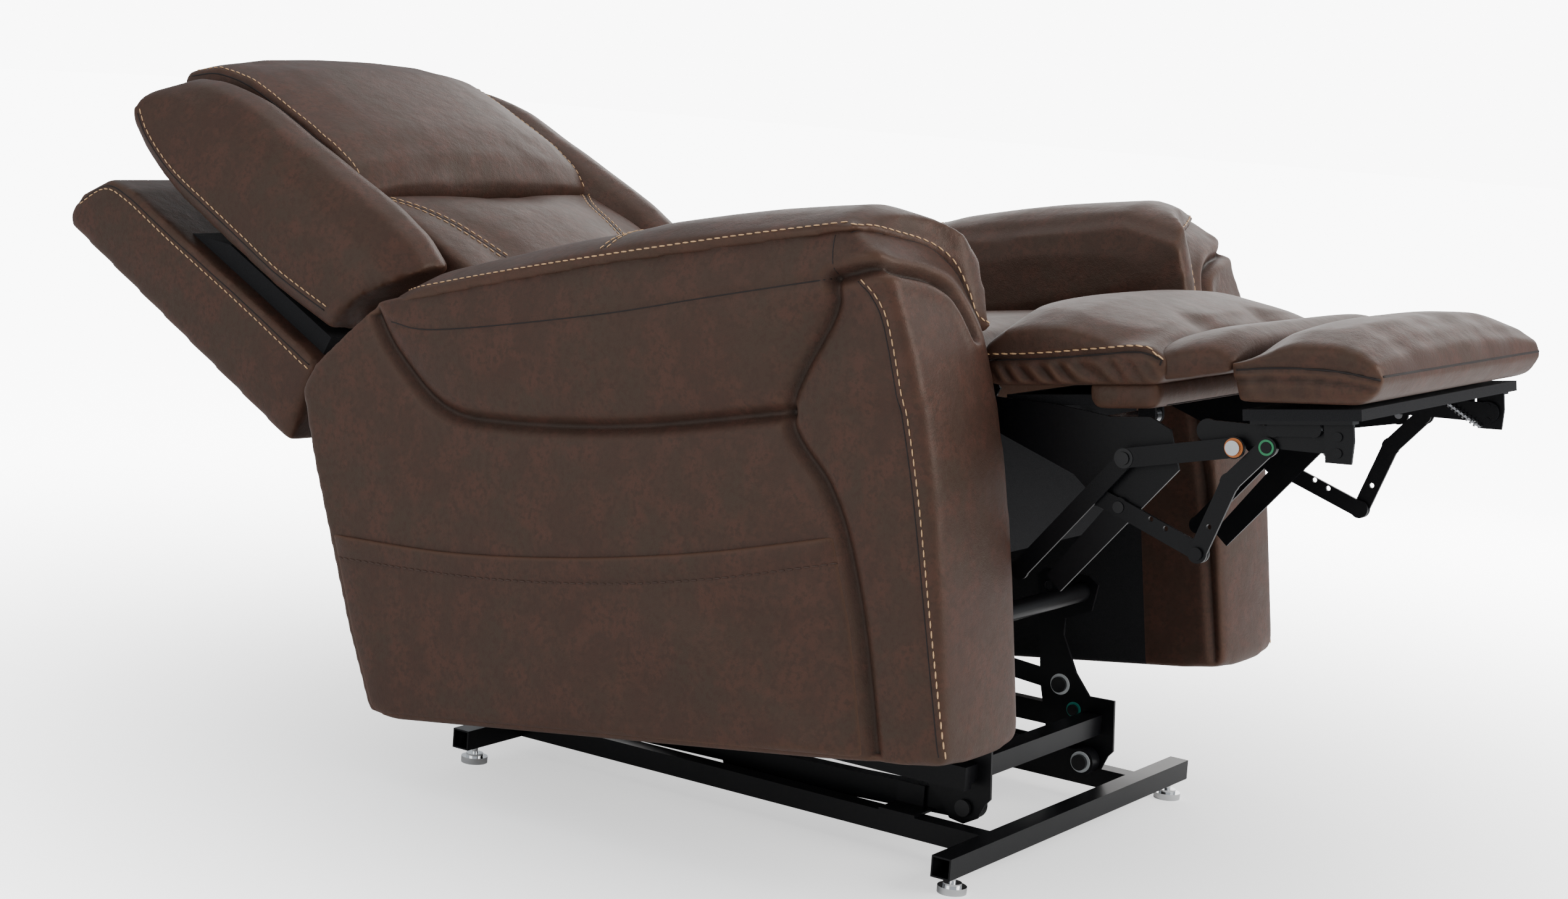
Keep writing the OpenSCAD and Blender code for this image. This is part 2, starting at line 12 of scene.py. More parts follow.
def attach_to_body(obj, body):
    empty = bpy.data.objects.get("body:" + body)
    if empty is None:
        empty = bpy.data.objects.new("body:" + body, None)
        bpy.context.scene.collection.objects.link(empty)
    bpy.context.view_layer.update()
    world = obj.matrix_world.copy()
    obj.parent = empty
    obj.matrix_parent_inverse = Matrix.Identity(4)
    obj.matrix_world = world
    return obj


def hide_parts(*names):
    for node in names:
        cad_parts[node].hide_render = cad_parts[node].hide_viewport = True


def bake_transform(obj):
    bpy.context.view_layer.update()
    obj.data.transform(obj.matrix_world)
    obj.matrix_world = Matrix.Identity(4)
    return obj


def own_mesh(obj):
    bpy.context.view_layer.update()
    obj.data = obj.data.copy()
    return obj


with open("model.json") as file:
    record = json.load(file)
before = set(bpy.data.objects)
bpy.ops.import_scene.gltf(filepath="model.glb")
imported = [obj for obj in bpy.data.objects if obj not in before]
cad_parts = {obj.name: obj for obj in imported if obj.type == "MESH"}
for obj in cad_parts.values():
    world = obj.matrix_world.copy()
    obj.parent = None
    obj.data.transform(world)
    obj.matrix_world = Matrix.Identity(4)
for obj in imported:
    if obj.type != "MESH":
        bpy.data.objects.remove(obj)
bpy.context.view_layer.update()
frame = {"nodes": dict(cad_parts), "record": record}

# ---- Frames: outlines are [forward, up] in millimetres, X is the sitter's left ----

MM = 0.001
CHASSIS_TILT = -7.5
BACK_TILT = -60


def local(x, forward, up):
    """Point of a local frame, in metres, from its sideways, forward and up places in millimetres."""
    return Vector((x, -forward, up)) * MM


def placed(point, tilt):
    """Matrix of a local frame that is tipped about its sideways axis, in degrees."""
    return Matrix.Translation(point) @ Matrix.Rotation(math.radians(tilt), 4, "X")


CHASSIS = placed(local(0, 410, 181), CHASSIS_TILT)
BACK = CHASSIS @ placed(local(0, -760, 300), BACK_TILT)
ROW_FORWARD = Vector((0, -1, 0))
CHASSIS_FORWARD = CHASSIS.to_3x3() @ ROW_FORWARD
SIDES = (-1, 1)
ARM_IN = 267
ARM_OUT = 443
ARM_MID = (ARM_IN + ARM_OUT) / 2
ARM_HALF = (ARM_OUT - ARM_IN) / 2
BACK_HALF = 352
PAD_HALF = 262


# ---- Meshes as arrays ----

def coords(obj):
    """Vertex places as rows of x, y and z, in metres."""
    co = np.empty(len(obj.data.vertices) * 3, np.float32)
    obj.data.vertices.foreach_get("co", co)
    return co.reshape(-1, 3).astype(float)


def set_coords(obj, co):
    obj.data.vertices.foreach_set("co", co.astype(np.float32).ravel())
    obj.data.update()


def side_view(co):
    """Sideways, forward and up places in millimetres of local coordinates."""
    return co[:, 0] / MM, -co[:, 1] / MM, co[:, 2] / MM


def flat_view(f, u):
    """Rows of forward and up places, to measure from a side outline."""
    return np.column_stack([f, u])


def half_view(x, f, u):
    """Rows of places with both sides of the chair folded onto one."""
    return np.column_stack([np.abs(x), f, u])


def new_mesh(name, verts, faces):
    mesh = bpy.data.meshes.new(name)
    mesh.from_pydata(verts, [], faces)
    mesh.update()
    obj = bpy.data.objects.new(name, mesh)
    bpy.context.scene.collection.objects.link(obj)
    return obj


def bake(obj):
    """Applies every modifier."""
    deps = bpy.context.evaluated_depsgraph_get()
    mesh = bpy.data.meshes.new_from_object(obj.evaluated_get(deps))
    obj.modifiers.clear()
    old = obj.data
    obj.data = mesh
    bpy.data.meshes.remove(old)
    return obj


def face_outward(obj):
    """Turns every face of a closed piece to the outside."""
    bm = bmesh.new()
    bm.from_mesh(obj.data)
    bmesh.ops.recalc_face_normals(bm, faces=bm.faces)
    bm.to_mesh(obj.data)
    bm.free()
    return obj


def loft(name, sections):
    """Closed solid through sections, each a list of local points in millimetres as (x, forward, up)."""
    count = len(sections[0])
    verts = [local(*p) for section in sections for p in section]
    last = (len(sections) - 1) * count
    faces = [tuple(range(count)), tuple(reversed(range(last, last + count)))]
    for s in range(len(sections) - 1):
        for i in range(count):
            a, b = s * count + i, s * count + (i + 1) % count
            faces.append((b, a, a + count, b + count))
    return face_outward(new_mesh(name, verts, faces))


def block(name, outline, x0, x1):
    """Closed solid of a side outline swept from x0 to x1."""
    return loft(name, [[(x, f, u) for f, u in outline] for x in (x0, x1)])


def soften(obj, rounds, group=""):
    """Smooths a piece, or only a vertex group of it."""
    smooth = obj.modifiers.new("smooth", "SMOOTH")
    smooth.iterations = rounds
    smooth.vertex_group = group
    return bake(obj)


def remesh(obj, size, rounds):
    """Even small quads, with the edges rounded by smoothing."""
    voxel = obj.modifiers.new("voxel", "REMESH")
    voxel.mode = "VOXEL"
    voxel.voxel_size = size * MM
    bake(obj)
    return soften(obj, rounds)


def hold(obj, name, weights):
    """Vertex group with a weight for each vertex."""
    group = obj.vertex_groups.new(name=name)
    for i, w in enumerate(weights):
        if w > 0.01:
            group.add([i], float(w), "REPLACE")


def vertex_normals(obj):
    """Vertex normals as rows of x, y and z."""
    n = np.empty(len(obj.data.vertices) * 3, np.float32)
    obj.data.vertex_normals.foreach_get("vector", n)
    return n.reshape(-1, 3).astype(float)


def smooth_curve(points, per_span=8):
    """Round curve through a few points, any dimension."""
    p = np.array(points, float)
    p = np.vstack([2 * p[0] - p[1], p, 2 * p[-1] - p[-2]])
    out = []
    for i in range(1, len(p) - 2):
        for t in np.linspace(0, 1, per_span, endpoint=False):
            a, b, c, d = p[i - 1:i + 3]
            out.append(0.5 * (2 * b + (c - a) * t + (2 * a - 5 * b + 4 * c - d) * t**2
                              + (3 * b - a - 3 * c + d) * t**3))
    out.append(p[-2])
    return np.array(out)


def distance(points, path):
    """Distance of each point to a polyline."""
    best = np.full(len(points), 1e9)
    for a, b in zip(path[:-1], path[1:]):
        d = b - a
        t = np.clip((points - a) @ d / max(d @ d, 1e-9), 0, 1)
        best = np.minimum(best, np.linalg.norm(points - (a + t[:, None] * d), axis=1))
    return best


def crease(dist, depth, width):
    """Soft furrow along a seam."""
    return -depth * np.exp(-(dist / width) ** 2)


def step(value, start, end):
    """0 before start, 1 after end, smooth between."""
    t = np.clip((value - start) / (end - start), 0, 1)
    return t * t * (3 - 2 * t)


# ---- Cloth ----

CLOTH_FRAMES = 20


def add_cloth(obj, pins, pressure, spare=0.02):
    """Cover filled from inside. pins gives each vertex's hold, from 0 to 1, and spare its extra cloth."""
    hold(obj, "pin", pins)
    cloth = obj.modifiers.new("cloth", "CLOTH")
    s = cloth.settings
    s.quality = 5
    s.mass = 0.25
    s.tension_stiffness = 25
    s.compression_stiffness = 25
    s.shear_stiffness = 12
    s.bending_stiffness = 4
    s.tension_damping = 15
    s.compression_damping = 15
    s.air_damping = 4
    s.shrink_min = -spare
    s.use_pressure = True
    s.uniform_pressure_force = pressure
    s.vertex_group_mass = "pin"
    s.effector_weights.gravity = 0
    cloth.collision_settings.use_collision = False
    cloth.collision_settings.use_self_collision = False


def even_out(obj, move, rounds=30):
    """Spreads each vertex's travel over its neighbours, so that the cover is taut and free of ripples."""
    mesh = obj.data
    ends = np.empty(len(mesh.edges) * 2, np.int32)
    mesh.edges.foreach_get("vertices", ends)
    ends = ends.reshape(-1, 2)
    near, far = np.concatenate([ends[:, 0], ends[:, 1]]), np.concatenate([ends[:, 1], ends[:, 0]])
    count = np.maximum(np.bincount(near, minlength=len(move)), 1)
    for _ in range(rounds):
        mean = np.column_stack([np.bincount(near, move[far, k], len(move)) / count for k in range(3)])
        move = 0.5 * (move + mean)
    return move


def simulate(covers):
    """Runs every cover's cloth at once and keeps the last frame. covers holds (object, farthest travel)."""
    scene = bpy.context.scene
    rest = {obj.name: coords(obj) for obj, _ in covers}
    scene.frame_start = 1
    scene.frame_end = CLOTH_FRAMES
    for obj, _ in covers:
        obj.modifiers["cloth"].point_cache.frame_end = CLOTH_FRAMES
    for number in range(1, CLOTH_FRAMES + 1):
        scene.frame_set(number)
    for obj, cap in covers:
        start = rest[obj.name]
        bake(obj)
        co = coords(obj)
        move = even_out(obj, co - start)
        size = np.linalg.norm(move, axis=1, keepdims=True)
        set_coords(obj, start + move * np.minimum(1, cap * MM / np.maximum(size, 1e-9)))
    scene.frame_set(1)


def refine(obj):
    """One subdivision and smooth shading."""
    sub = obj.modifiers.new("sub", "SUBSURF")
    sub.levels = 1
    sub.render_levels = 1
    bake(obj)
    obj.data.shade_smooth()
    return obj


def to_row(obj, matrix):
    """Moves a mesh from a local frame to the row frame."""
    obj.data.transform(matrix)
    obj.data.update()
    return obj


# ---- Stitches and seams ----

def tree(*objs):
    """Ray-casting tree over meshes in the row frame."""
    verts, faces = [], []
    for obj in objs:
        base = len(verts)
        verts += [v.co.copy() for v in obj.data.vertices]
        faces += [[base + i for i in p.vertices] for p in obj.data.polygons]
    return BVHTree.FromPolygons(verts, faces)


def walk(points, pitch):
    """Points evenly spaced along a polyline."""
    p = np.array(points, float)
    leg = np.linalg.norm(np.diff(p, axis=0), axis=1)
    at = np.concatenate([[0], np.cumsum(leg)])
    s = np.arange(pitch / 2, at[-1], pitch)
    return np.column_stack([np.interp(s, at, p[:, k]) for k in range(3)])


def lay(bvh, path, toward, pitch):
    """Drops a path onto a surface, along a direction or to the nearest point: places and normals."""
    spots = []
    for p in walk(path, pitch):
        hit = None
        if toward is not None:
            hit, normal, _, _ = bvh.ray_cast(Vector(p) - toward * 0.15, toward, 0.4)
        if hit is None:
            hit, normal, _, _ = bvh.find_nearest(Vector(p))
        spots.append((hit, normal))
    return spots


STITCH_PITCH = 10.8
STITCH_LEN = 8.8
STITCH_SLANT = 0.08
SEAM_PITCH = 6


def space_path(path, side, matrix):
    """Smooth path in the row frame through (sideways, forward, up) points."""
    return [matrix @ local(side * x, f, u) for x, f, u in smooth_curve(path)]


def arm_path(path, side):
    """Smooth path in the row frame along the outer side of an arm, through (forward, up) points."""
    return space_path([(ARM_OUT, f, u) for f, u in path], side, CHASSIS)


def inward(side):
    """Direction from one side of the chair to its middle."""
    return Vector((-side, 0, 0))


def both_sides(skin, path, matrix, toward=None):
    """The same run on both sides. toward is None for the nearest surface, a direction, or inward itself."""
    return [(skin, space_path(path, side, matrix), inward(side) if toward is inward else toward)
            for side in SIDES]


def attach(obj, body):
    """Rides one body; given two as (a, b, start, end), it rides none and only has its transform baked in."""
    if isinstance(body, str):
        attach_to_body(obj, body)
    else:
        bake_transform(obj)


def stitches(name, runs, body, mat=None):
    """Dashes of thread along runs, each (tree, path, direction) in the row frame."""
    verts, faces = [], []
    for bvh, path, toward in runs:
        spots = lay(bvh, path, toward, STITCH_PITCH * MM)
        for i, (c, n) in enumerate(spots):
            a, b = spots[max(i - 1, 0)][0], spots[min(i + 1, len(spots) - 1)][0]
            along = (b - a).normalized()
            along = (along + along.cross(n) * STITCH_SLANT).normalized()
            across = along.cross(n).normalized()
            centre = c + n * 0.45 * MM
            base = len(verts)
            half = STITCH_LEN / 2 * MM
            verts.append(centre - along * half - n * 0.7 * MM)
            for s in (-0.75, 0, 0.75):
                r = (0.7 if s else 0.95) * MM
                for k in range(6):
                    turn = math.tau * k / 6
                    verts.append(centre + along * half * s + across * r * math.cos(turn)
                                 + n * r * 0.8 * math.sin(turn))
            verts.append(centre + along * half - n * 0.7 * MM)
            for k in range(6):
                m = (k + 1) % 6
                faces.append((base, base + 1 + m, base + 1 + k))
                for ring in (1, 7):
                    faces.append((base + ring + k, base + ring + m, base + ring + 6 + m, base + ring + 6 + k))
                faces.append((base + 13 + k, base + 13 + m, base + 19))
    obj = new_mesh(name, verts, faces)
    obj.data.shade_smooth()
    obj.data.materials.append(mat or THREAD)
    attach(obj, body)
    return obj


def seams(name, runs, body, radius=1.1):
    """Fine dark joins between panels, as half-sunk cords along runs."""
    verts, faces = [], []
    for bvh, path, toward in runs:
        spots = lay(bvh, path, toward, SEAM_PITCH * MM)
        base = len(verts)
        for i, (c, n) in enumerate(spots):
            a = spots[max(i - 1, 0)][0]
            b = spots[min(i + 1, len(spots) - 1)][0]
            along = (b - a).normalized()
            across = along.cross(n).normalized()
            for k in range(6):
                turn = math.tau * k / 6
                verts.append(c + (across * math.cos(turn) + n * 0.5 * math.sin(turn)) * radius * MM)
        for i in range(len(spots) - 1):
            for k in range(6):
                m = (k + 1) % 6
                a = base + 6 * i
                faces.append((a + k, a + m, a + 6 + m, a + 6 + k))
        last = base + 6 * (len(spots) - 1)
        faces.append(tuple(base + k for k in reversed(range(6))))
        faces.append(tuple(last + k for k in range(6)))
    obj = new_mesh(name, verts, faces)
    obj.data.shade_smooth()
    obj.data.materials.append(SEAM)
    attach(obj, body)
    return obj


# ---- Materials ----

def material(name):
    """New material with its nodes, its links and its main shader."""
    mat = bpy.data.materials.new(name)
    mat.use_nodes = True
    nodes, links = mat.node_tree.nodes, mat.node_tree.links
    return mat, nodes, links, nodes["Principled BSDF"]


def noise(nodes, links, scale, detail, rough, coord):
    tex = nodes.new("ShaderNodeTexNoise")
    tex.inputs["Scale"].default_value = scale
    tex.inputs["Detail"].default_value = detail
    tex.inputs["Roughness"].default_value = rough
    links.new(coord, tex.inputs["Vector"])
    return tex.outputs["Fac"]


def ramp(nodes, links, value, low, high):
    r = nodes.new("ShaderNodeMapRange")
    r.inputs["From Min"].default_value = low
    r.inputs["From Max"].default_value = high
    links.new(value, r.inputs["Value"])
    return r.outputs["Result"]


def mix(nodes, links, factor, a, b):
    """Mixes two colours, each a value or a socket, by a socket."""
    m = nodes.new("ShaderNodeMix")
    m.data_type = "RGBA"
    links.new(factor, m.inputs["Factor"])
    for value, key in ((a, "A"), (b, "B")):
        socket = [s for s in m.inputs if s.name == key and s.type == "RGBA"][0]
        if isinstance(value, tuple):
            socket.default_value = (*value, 1)
        else:
            links.new(value, socket)
    return [s for s in m.outputs if s.type == "RGBA"][0]


def bump(nodes, links, height, strength, metres, under=None):
    b = nodes.new("ShaderNodeBump")
    b.inputs["Strength"].default_value = strength
    b.inputs["Distance"].default_value = metres
    links.new(height, b.inputs["Height"])
    if under is not None:
        links.new(under, b.inputs["Normal"])
    return b.outputs["Normal"]


def leather():
    """Dark pull-up leather: reddish and olive clouds, paler where it is stretched, and painted shade that
    darkens its furrows.
    """
    mat, nodes, links, bsdf = material("brown_leather")
    place = nodes.new("ShaderNodeTexCoord").outputs["Object"]
    clouds = ramp(nodes, links, noise(nodes, links, 7, 5, 0.6, place), 0.40, 0.60)
    blotch = ramp(nodes, links, noise(nodes, links, 30, 5, 0.62, place), 0.44, 0.62)
    fleck = ramp(nodes, links, noise(nodes, links, 140, 4, 0.65, place), 0.48, 0.62)
    tone = mix(nodes, links, clouds, (0.054, 0.026, 0.019), (0.052, 0.031, 0.022))
    tone = mix(nodes, links, blotch, tone, (0.072, 0.032, 0.023))
    tone = mix(nodes, links, fleck, tone, (0.048, 0.025, 0.018))
    geometry = nodes.new("ShaderNodeNewGeometry")
    ridge = ramp(nodes, links, geometry.outputs["Pointiness"], 0.505, 0.56)
    # Painted shade: hollows of the surface, found by pointiness, turn near black as if shaded.
    painted_furrow_shade = ramp(nodes, links, geometry.outputs["Pointiness"], 0.495, 0.44)
    tone = mix(nodes, links, ridge, tone, (0.095, 0.046, 0.028))
    tone = mix(nodes, links, painted_furrow_shade, tone, (0.014, 0.007, 0.005))
    links.new(tone, bsdf.inputs["Base Color"])
    shine = nodes.new("ShaderNodeMapRange")
    shine.inputs["To Min"].default_value = 0.42
    shine.inputs["To Max"].default_value = 0.56
    links.new(noise(nodes, links, 55, 4, 0.6, place), shine.inputs["Value"])
    links.new(shine.outputs["Result"], bsdf.inputs["Roughness"])
    bsdf.inputs["Specular IOR Level"].default_value = 0.34
    bsdf.inputs["Specular Tint"].default_value = (1.0, 0.86, 0.76, 1)
    cells = nodes.new("ShaderNodeTexVoronoi")
    cells.inputs["Scale"].default_value = 620
    links.new(place, cells.inputs["Vector"])
    under = bump(nodes, links, noise(nodes, links, 26, 4, 0.6, place), 0.35, 0.004)
    under = bump(nodes, links, cells.outputs["Distance"], 0.25, 0.0006, under)
    links.new(bump(nodes, links, noise(nodes, links, 300, 3, 0.6, place), 0.18, 0.0008, under),
              bsdf.inputs["Normal"])
    return mat


def plain(name, colour, rough, metal=0.0, grain=0.0, scale=400, vary=0.15, shine_level=0.5):
    """Even finish with slight wear in its colour and roughness, and optional fine grain."""
    mat, nodes, links, bsdf = material(name)
    place = nodes.new("ShaderNodeTexCoord").outputs["Object"]
    soft = noise(nodes, links, 14, 4, 0.6, place)
    dark = tuple(c * (1 - vary) for c in colour)
    light = tuple(min(1, c * (1 + vary)) for c in colour)
    links.new(mix(nodes, links, soft, dark, light), bsdf.inputs["Base Color"])
    shine = nodes.new("ShaderNodeMapRange")
    shine.inputs["To Min"].default_value = rough * 0.85
    shine.inputs["To Max"].default_value = min(1, rough * 1.15)
    links.new(soft, shine.inputs["Value"])
    links.new(shine.outputs["Result"], bsdf.inputs["Roughness"])
    bsdf.inputs["Metallic"].default_value = metal
    bsdf.inputs["Specular IOR Level"].default_value = shine_level
    if grain:
        links.new(bump(nodes, links, noise(nodes, links, scale, 3, 0.6, place), grain, 0.001),
                  bsdf.inputs["Normal"])
    return mat


def wood():
    """Pale plywood with a wavy grain."""
    mat, nodes, links, bsdf = material("plywood")
    place = nodes.new("ShaderNodeTexCoord").outputs["Object"]
    wave = nodes.new("ShaderNodeTexWave")
    wave.inputs["Scale"].default_value = 9
    wave.inputs["Distortion"].default_value = 5
    wave.inputs["Detail"].default_value = 3
    links.new(place, wave.inputs["Vector"])
    links.new(mix(nodes, links, wave.outputs["Fac"], (0.42, 0.27, 0.14), (0.55, 0.38, 0.21)),
              bsdf.inputs["Base Color"])
    bsdf.inputs["Roughness"].default_value = 0.7
    return mat


def lining_cloth():
    """Black non-woven lining."""
    mat, nodes, links, bsdf = material("lining")
    place = nodes.new("ShaderNodeTexCoord").outputs["Object"]
    fibres = noise(nodes, links, 900, 3, 0.7, place)
    links.new(mix(nodes, links, fibres, (0.008, 0.008, 0.009), (0.03, 0.03, 0.032)),
              bsdf.inputs["Base Color"])
    bsdf.inputs["Roughness"].default_value = 0.95
    bsdf.inputs["Specular IOR Level"].default_value = 0.2
    links.new(bump(nodes, links, fibres, 0.5, 0.001), bsdf.inputs["Normal"])
    return mat


LEATHER = leather()
THREAD = plain("thread", (0.70, 0.43, 0.22), 0.6, grain=0.3, scale=2500, vary=0.2)
TONAL_THREAD = plain("tonal_thread", (0.06, 0.03, 0.02), 0.6)
SEAM = plain("seam", (0.012, 0.006, 0.005), 0.7)
LINING = lining_cloth()
STEEL = plain("black_steel", (0.005, 0.005, 0.006), 0.34, grain=0.12, scale=900, shine_level=0.22)
RIVET = plain("rivet", (0.012, 0.012, 0.013), 0.34, metal=0.3)
ZINC = plain("zinc_steel", (0.55, 0.56, 0.58), 0.28, metal=1.0)
CHROME = plain("chrome", (0.78, 0.79, 0.80), 0.12, metal=1.0, vary=0.03)
NYLON = plain("nylon", (0.75, 0.78, 0.78), 0.4)
TEAL_NYLON = plain("teal_nylon", (0.01, 0.30, 0.24), 0.4)
GREEN_NYLON = plain("green_nylon", (0.02, 0.26, 0.10), 0.4)
ORANGE_NYLON = plain("orange_nylon", (0.55, 0.16, 0.03), 0.4)
PLYWOOD = wood()
BLACK_PLASTIC = plain("black_plastic", (0.02, 0.02, 0.022), 0.45, grain=0.3, scale=1500)
GREY_PLASTIC = plain("grey_plastic", (0.22, 0.23, 0.25), 0.4, grain=0.2, scale=1500)

FINISHES = {
    "black_steel": STEEL, "zinc_steel": ZINC, "chrome": CHROME, "nylon": NYLON, "plywood": PLYWOOD,
    "black_plastic": BLACK_PLASTIC, "grey_plastic": GREY_PLASTIC, "brown_leather": LEATHER,
}
PLATE_BOLT = local(0, 268, 121)
PLATE_BOLT_REACH = 12


def finish_cad():
    """Every CAD node takes the finish of its slot, and the bushings of the plate bolts turn teal."""
    for part in frame["record"]["subparts"]:
        node = frame["nodes"][part["node"]]
        node.data.materials.clear()
        node.data.materials.append(FINISHES[part["material_slot"]])
    for names, mat in ((("link_rivets", "lift_pivot_bolts", "base_pivot_bolts"), RIVET),
                       (("thigh_board", "footrest_board"), LINING)):
        for name in names:
            frame["nodes"][name].data.materials[0] = mat
    bushings = frame["nodes"]["pivot_bushings"].data
    bushings.materials.append(TEAL_NYLON)
    for face in bushings.polygons:
        off = face.center - PLATE_BOLT
        if max(abs(off.y), abs(off.z)) < PLATE_BOLT_REACH * MM:
            face.material_index = 1


def cover(obj, body, *nodes, mat=None):
    """Upholstery piece that stands for CAD nodes."""
    obj.data.materials.clear()
    obj.data.materials.append(mat or LEATHER)
    if body:
        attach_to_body(obj, body)
    if nodes:
        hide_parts(*nodes)
    return obj


# ---- Arms ----

ARM_OUTLINE = [(0, 2), (-774, 0), (-813, 10), (-842, 111), (-867, 223), (-888, 316), (-903, 410),
               (-881, 440), (-772, 518), (-438, 557), (-102, 586), (-86, 580), (-58, 556), (-38, 524),
               (-25, 482), (-14, 440), (-4, 379), (4, 300), (7, 190), (6, 14)]
LOWER_GROOVE = [(-785, 512), (-750, 453), (-678, 386), (-581, 368), (-396, 365), (-179, 382)]
FRONT_GROOVE = [(-84, -1), (-96, 150), (-112, 243), (-134, 302), (-179, 382), (-118, 488), (-110, 528)]
BAND_SEAM = [(-754, 492), (-673, 481), (-441, 494), (-280, 511), (-114, 528)]
TOP_SEAM = [(-763, 521), (-600, 540), (-438, 556), (-250, 572), (-97, 587)]
FRONT_SEAM = [(-4, 12), (-13, 154), (-25, 321), (-46, 464), (-64, 508), (-84, 528)]
POCKET_TOP = [(-864, 228), (-638, 212), (-449, 212), (-293, 224), (-116, 247)]
HEM_DEPTH = 29
POCKET_HEM = [(f + shift, u - HEM_DEPTH) for (f, u), shift in zip(POCKET_TOP, (12, 6, 6, 6, -8))]
CAP_TOP = [(-762, 530), (-700, 552), (-500, 580), (-372, 596), (-225, 604), (-107, 607)]
NOSE_SEAM = [(443, -92, 581), (413, -82, 576), (375, -71, 567), (340, -63, 558), (318, -52, 545),
             (305, -41, 527), (298, -31, 498), (290, -26, 472), (264, -24, 460)]
GUSSET_SEAM = [(-111, 530), (-110, 577)]
GUSSET_GROOVE = [(443, -112, 528), (443, -88, 533), (440, -62, 537), (428, -45, 534), (402, -41, 529),
                 (373, -38, 523), (340, -33, 509), (322, -27, 487), (310, -19, 458)]
WRAP_GROOVE = [(-4, 10), (-10, 240), (-26, 380), (-44, 470)]
CROSS_SEAM = -425
HANDSET_RECESS = ((ARM_OUT - 22, -526, 138), (ARM_OUT + 40, -472, 302))


def round_off(obj, weights, rounds):
    """Smooths part of a piece, to round its edges there."""
    hold(obj, "round", weights)
    soften(obj, rounds, "round")


def arm_body(side, name):
    """Outer panel, band and front strip: one padded cover with deep seams between them."""
    lo, hi = sorted((side * (ARM_IN + 6), side * (ARM_OUT - 1)))
    front_edge = np.array(ARM_OUTLINE[10:], float)
    obj = remesh(block(name, ARM_OUTLINE, lo, hi), 5, rounds=7)
    x, f, u = side_view(coords(obj))
    at_front = step(distance(flat_view(f, u), front_edge), 60, 30)
    round_off(obj, at_front * step(np.abs(np.abs(x) - ARM_MID), 35, 60), 36)
    co = coords(obj)
    x, f, u = side_view(co)
    normal = vertex_normals(obj)
    outer = np.clip(normal[:, 0] * side, 0, 1)
    flat = flat_view(f, u)
    lower = distance(flat, smooth_curve(LOWER_GROOVE))
    front = distance(flat, smooth_curve(FRONT_GROOVE))
    band = distance(flat, smooth_curve(BAND_SEAM))
    top = distance(flat, smooth_curve(TOP_SEAM))
    near = np.minimum(np.minimum(lower, front), top)
    upper = step(u - np.interp(f, [-785, -678, -581, -396, -179], [512, 386, 368, 365, 382]), 0, 20)
    puff = (9 + 5 * upper) * (1 - np.exp(-near / 34)) - 6
    furrow = crease(lower, 11, 7) + crease(band, 2.5, 4)
    pull = 0.7 * np.sin(f / 24 + 2 * np.sin(u / 60)) * np.exp(-near / 26)
    shift = outer * (puff + furrow + pull)
    seam = distance(flat, smooth_curve(FRONT_SEAM))
    shift += outer * crease(seam, 2.0, 4)
    gusset = distance(half_view(x, f, u), smooth_curve(GUSSET_GROOVE))
    shift += 3.5 * np.exp(-((gusset - 14) / 9) ** 2)
    shift += np.minimum(outer * crease(front, 9, 6), crease(gusset, 12, 5.5))
    ahead = np.clip(-normal[:, 1], 0, 1)
    shift += ahead * 5 * np.clip(1 - ((np.abs(x) - ARM_MID) / ARM_HALF) ** 2, 0, 1)
    inner = np.clip(-normal[:, 0] * side, 0, 1)
    shift += inner * crease(distance(flat, np.array(WRAP_GROOVE, float)), 8, 6)
    set_coords(obj, co + normal * shift[:, None] * MM)
    return obj


def arm_cap(side, name):
    """Padded roll over the arm: its front edge runs from the outer top corner down to the inner side."""
    seam = smooth_curve(NOSE_SEAM, 3)[::-1]
    sections = []
    for x, nose_f, nose_u in seam:
        edge = (x - ARM_MID) / ARM_HALF
        drop = 22 * abs(edge) ** 2.4 + (8 if x < 275 else 0)
        top = [(f, u - drop) for f, u in CAP_TOP]
        low = 584 - nose_u
        front = [(min(nose_f + 2, -92) - 6, 604 - drop), (nose_f * 0.85 - 12, 596 - drop - low * 0.12),
                 (nose_f - 2, nose_u + low * 0.5 + 7), (nose_f + 7, nose_u + 6)]
        lap = 110 * step(-x, -288, -270)
        under = [(nose_f - 1, nose_u - 4), (-104, 578 - lap), (-438, 550 - lap), (-762, 512 - lap)]
        sections.append([(side * x, f, u) for f, u in top + front + under])
    obj = remesh(loft(name, sections), 6, rounds=5)
    x, f, u = side_view(coords(obj))
    hem_outer = distance(half_view(x, f, u), smooth_curve([(ARM_OUT, *point) for point in TOP_SEAM]))
    hem_front = distance(half_view(x, f, u), smooth_curve(NOSE_SEAM))
    pins = np.maximum(step(hem_outer, 14, 5), step(hem_front, 14, 5))
    pins = np.maximum(pins, 0.95 * step(np.abs(f - CROSS_SEAM), 7, 3))
    add_cloth(obj, pins, 2.2, spare=0.004)
    return obj


def surface_point(bvh, side, f, u):
    """Place and outward normal on the outer side of an arm, in the row frame."""
    hit, normal, _, _ = bvh.ray_cast(CHASSIS @ local(side * (ARM_OUT + 60), f, u), inward(side), 0.2)
    if hit is None:
        hit, normal, _, _ = bvh.find_nearest(CHASSIS @ local(side * ARM_OUT, f, u))
    return hit, normal


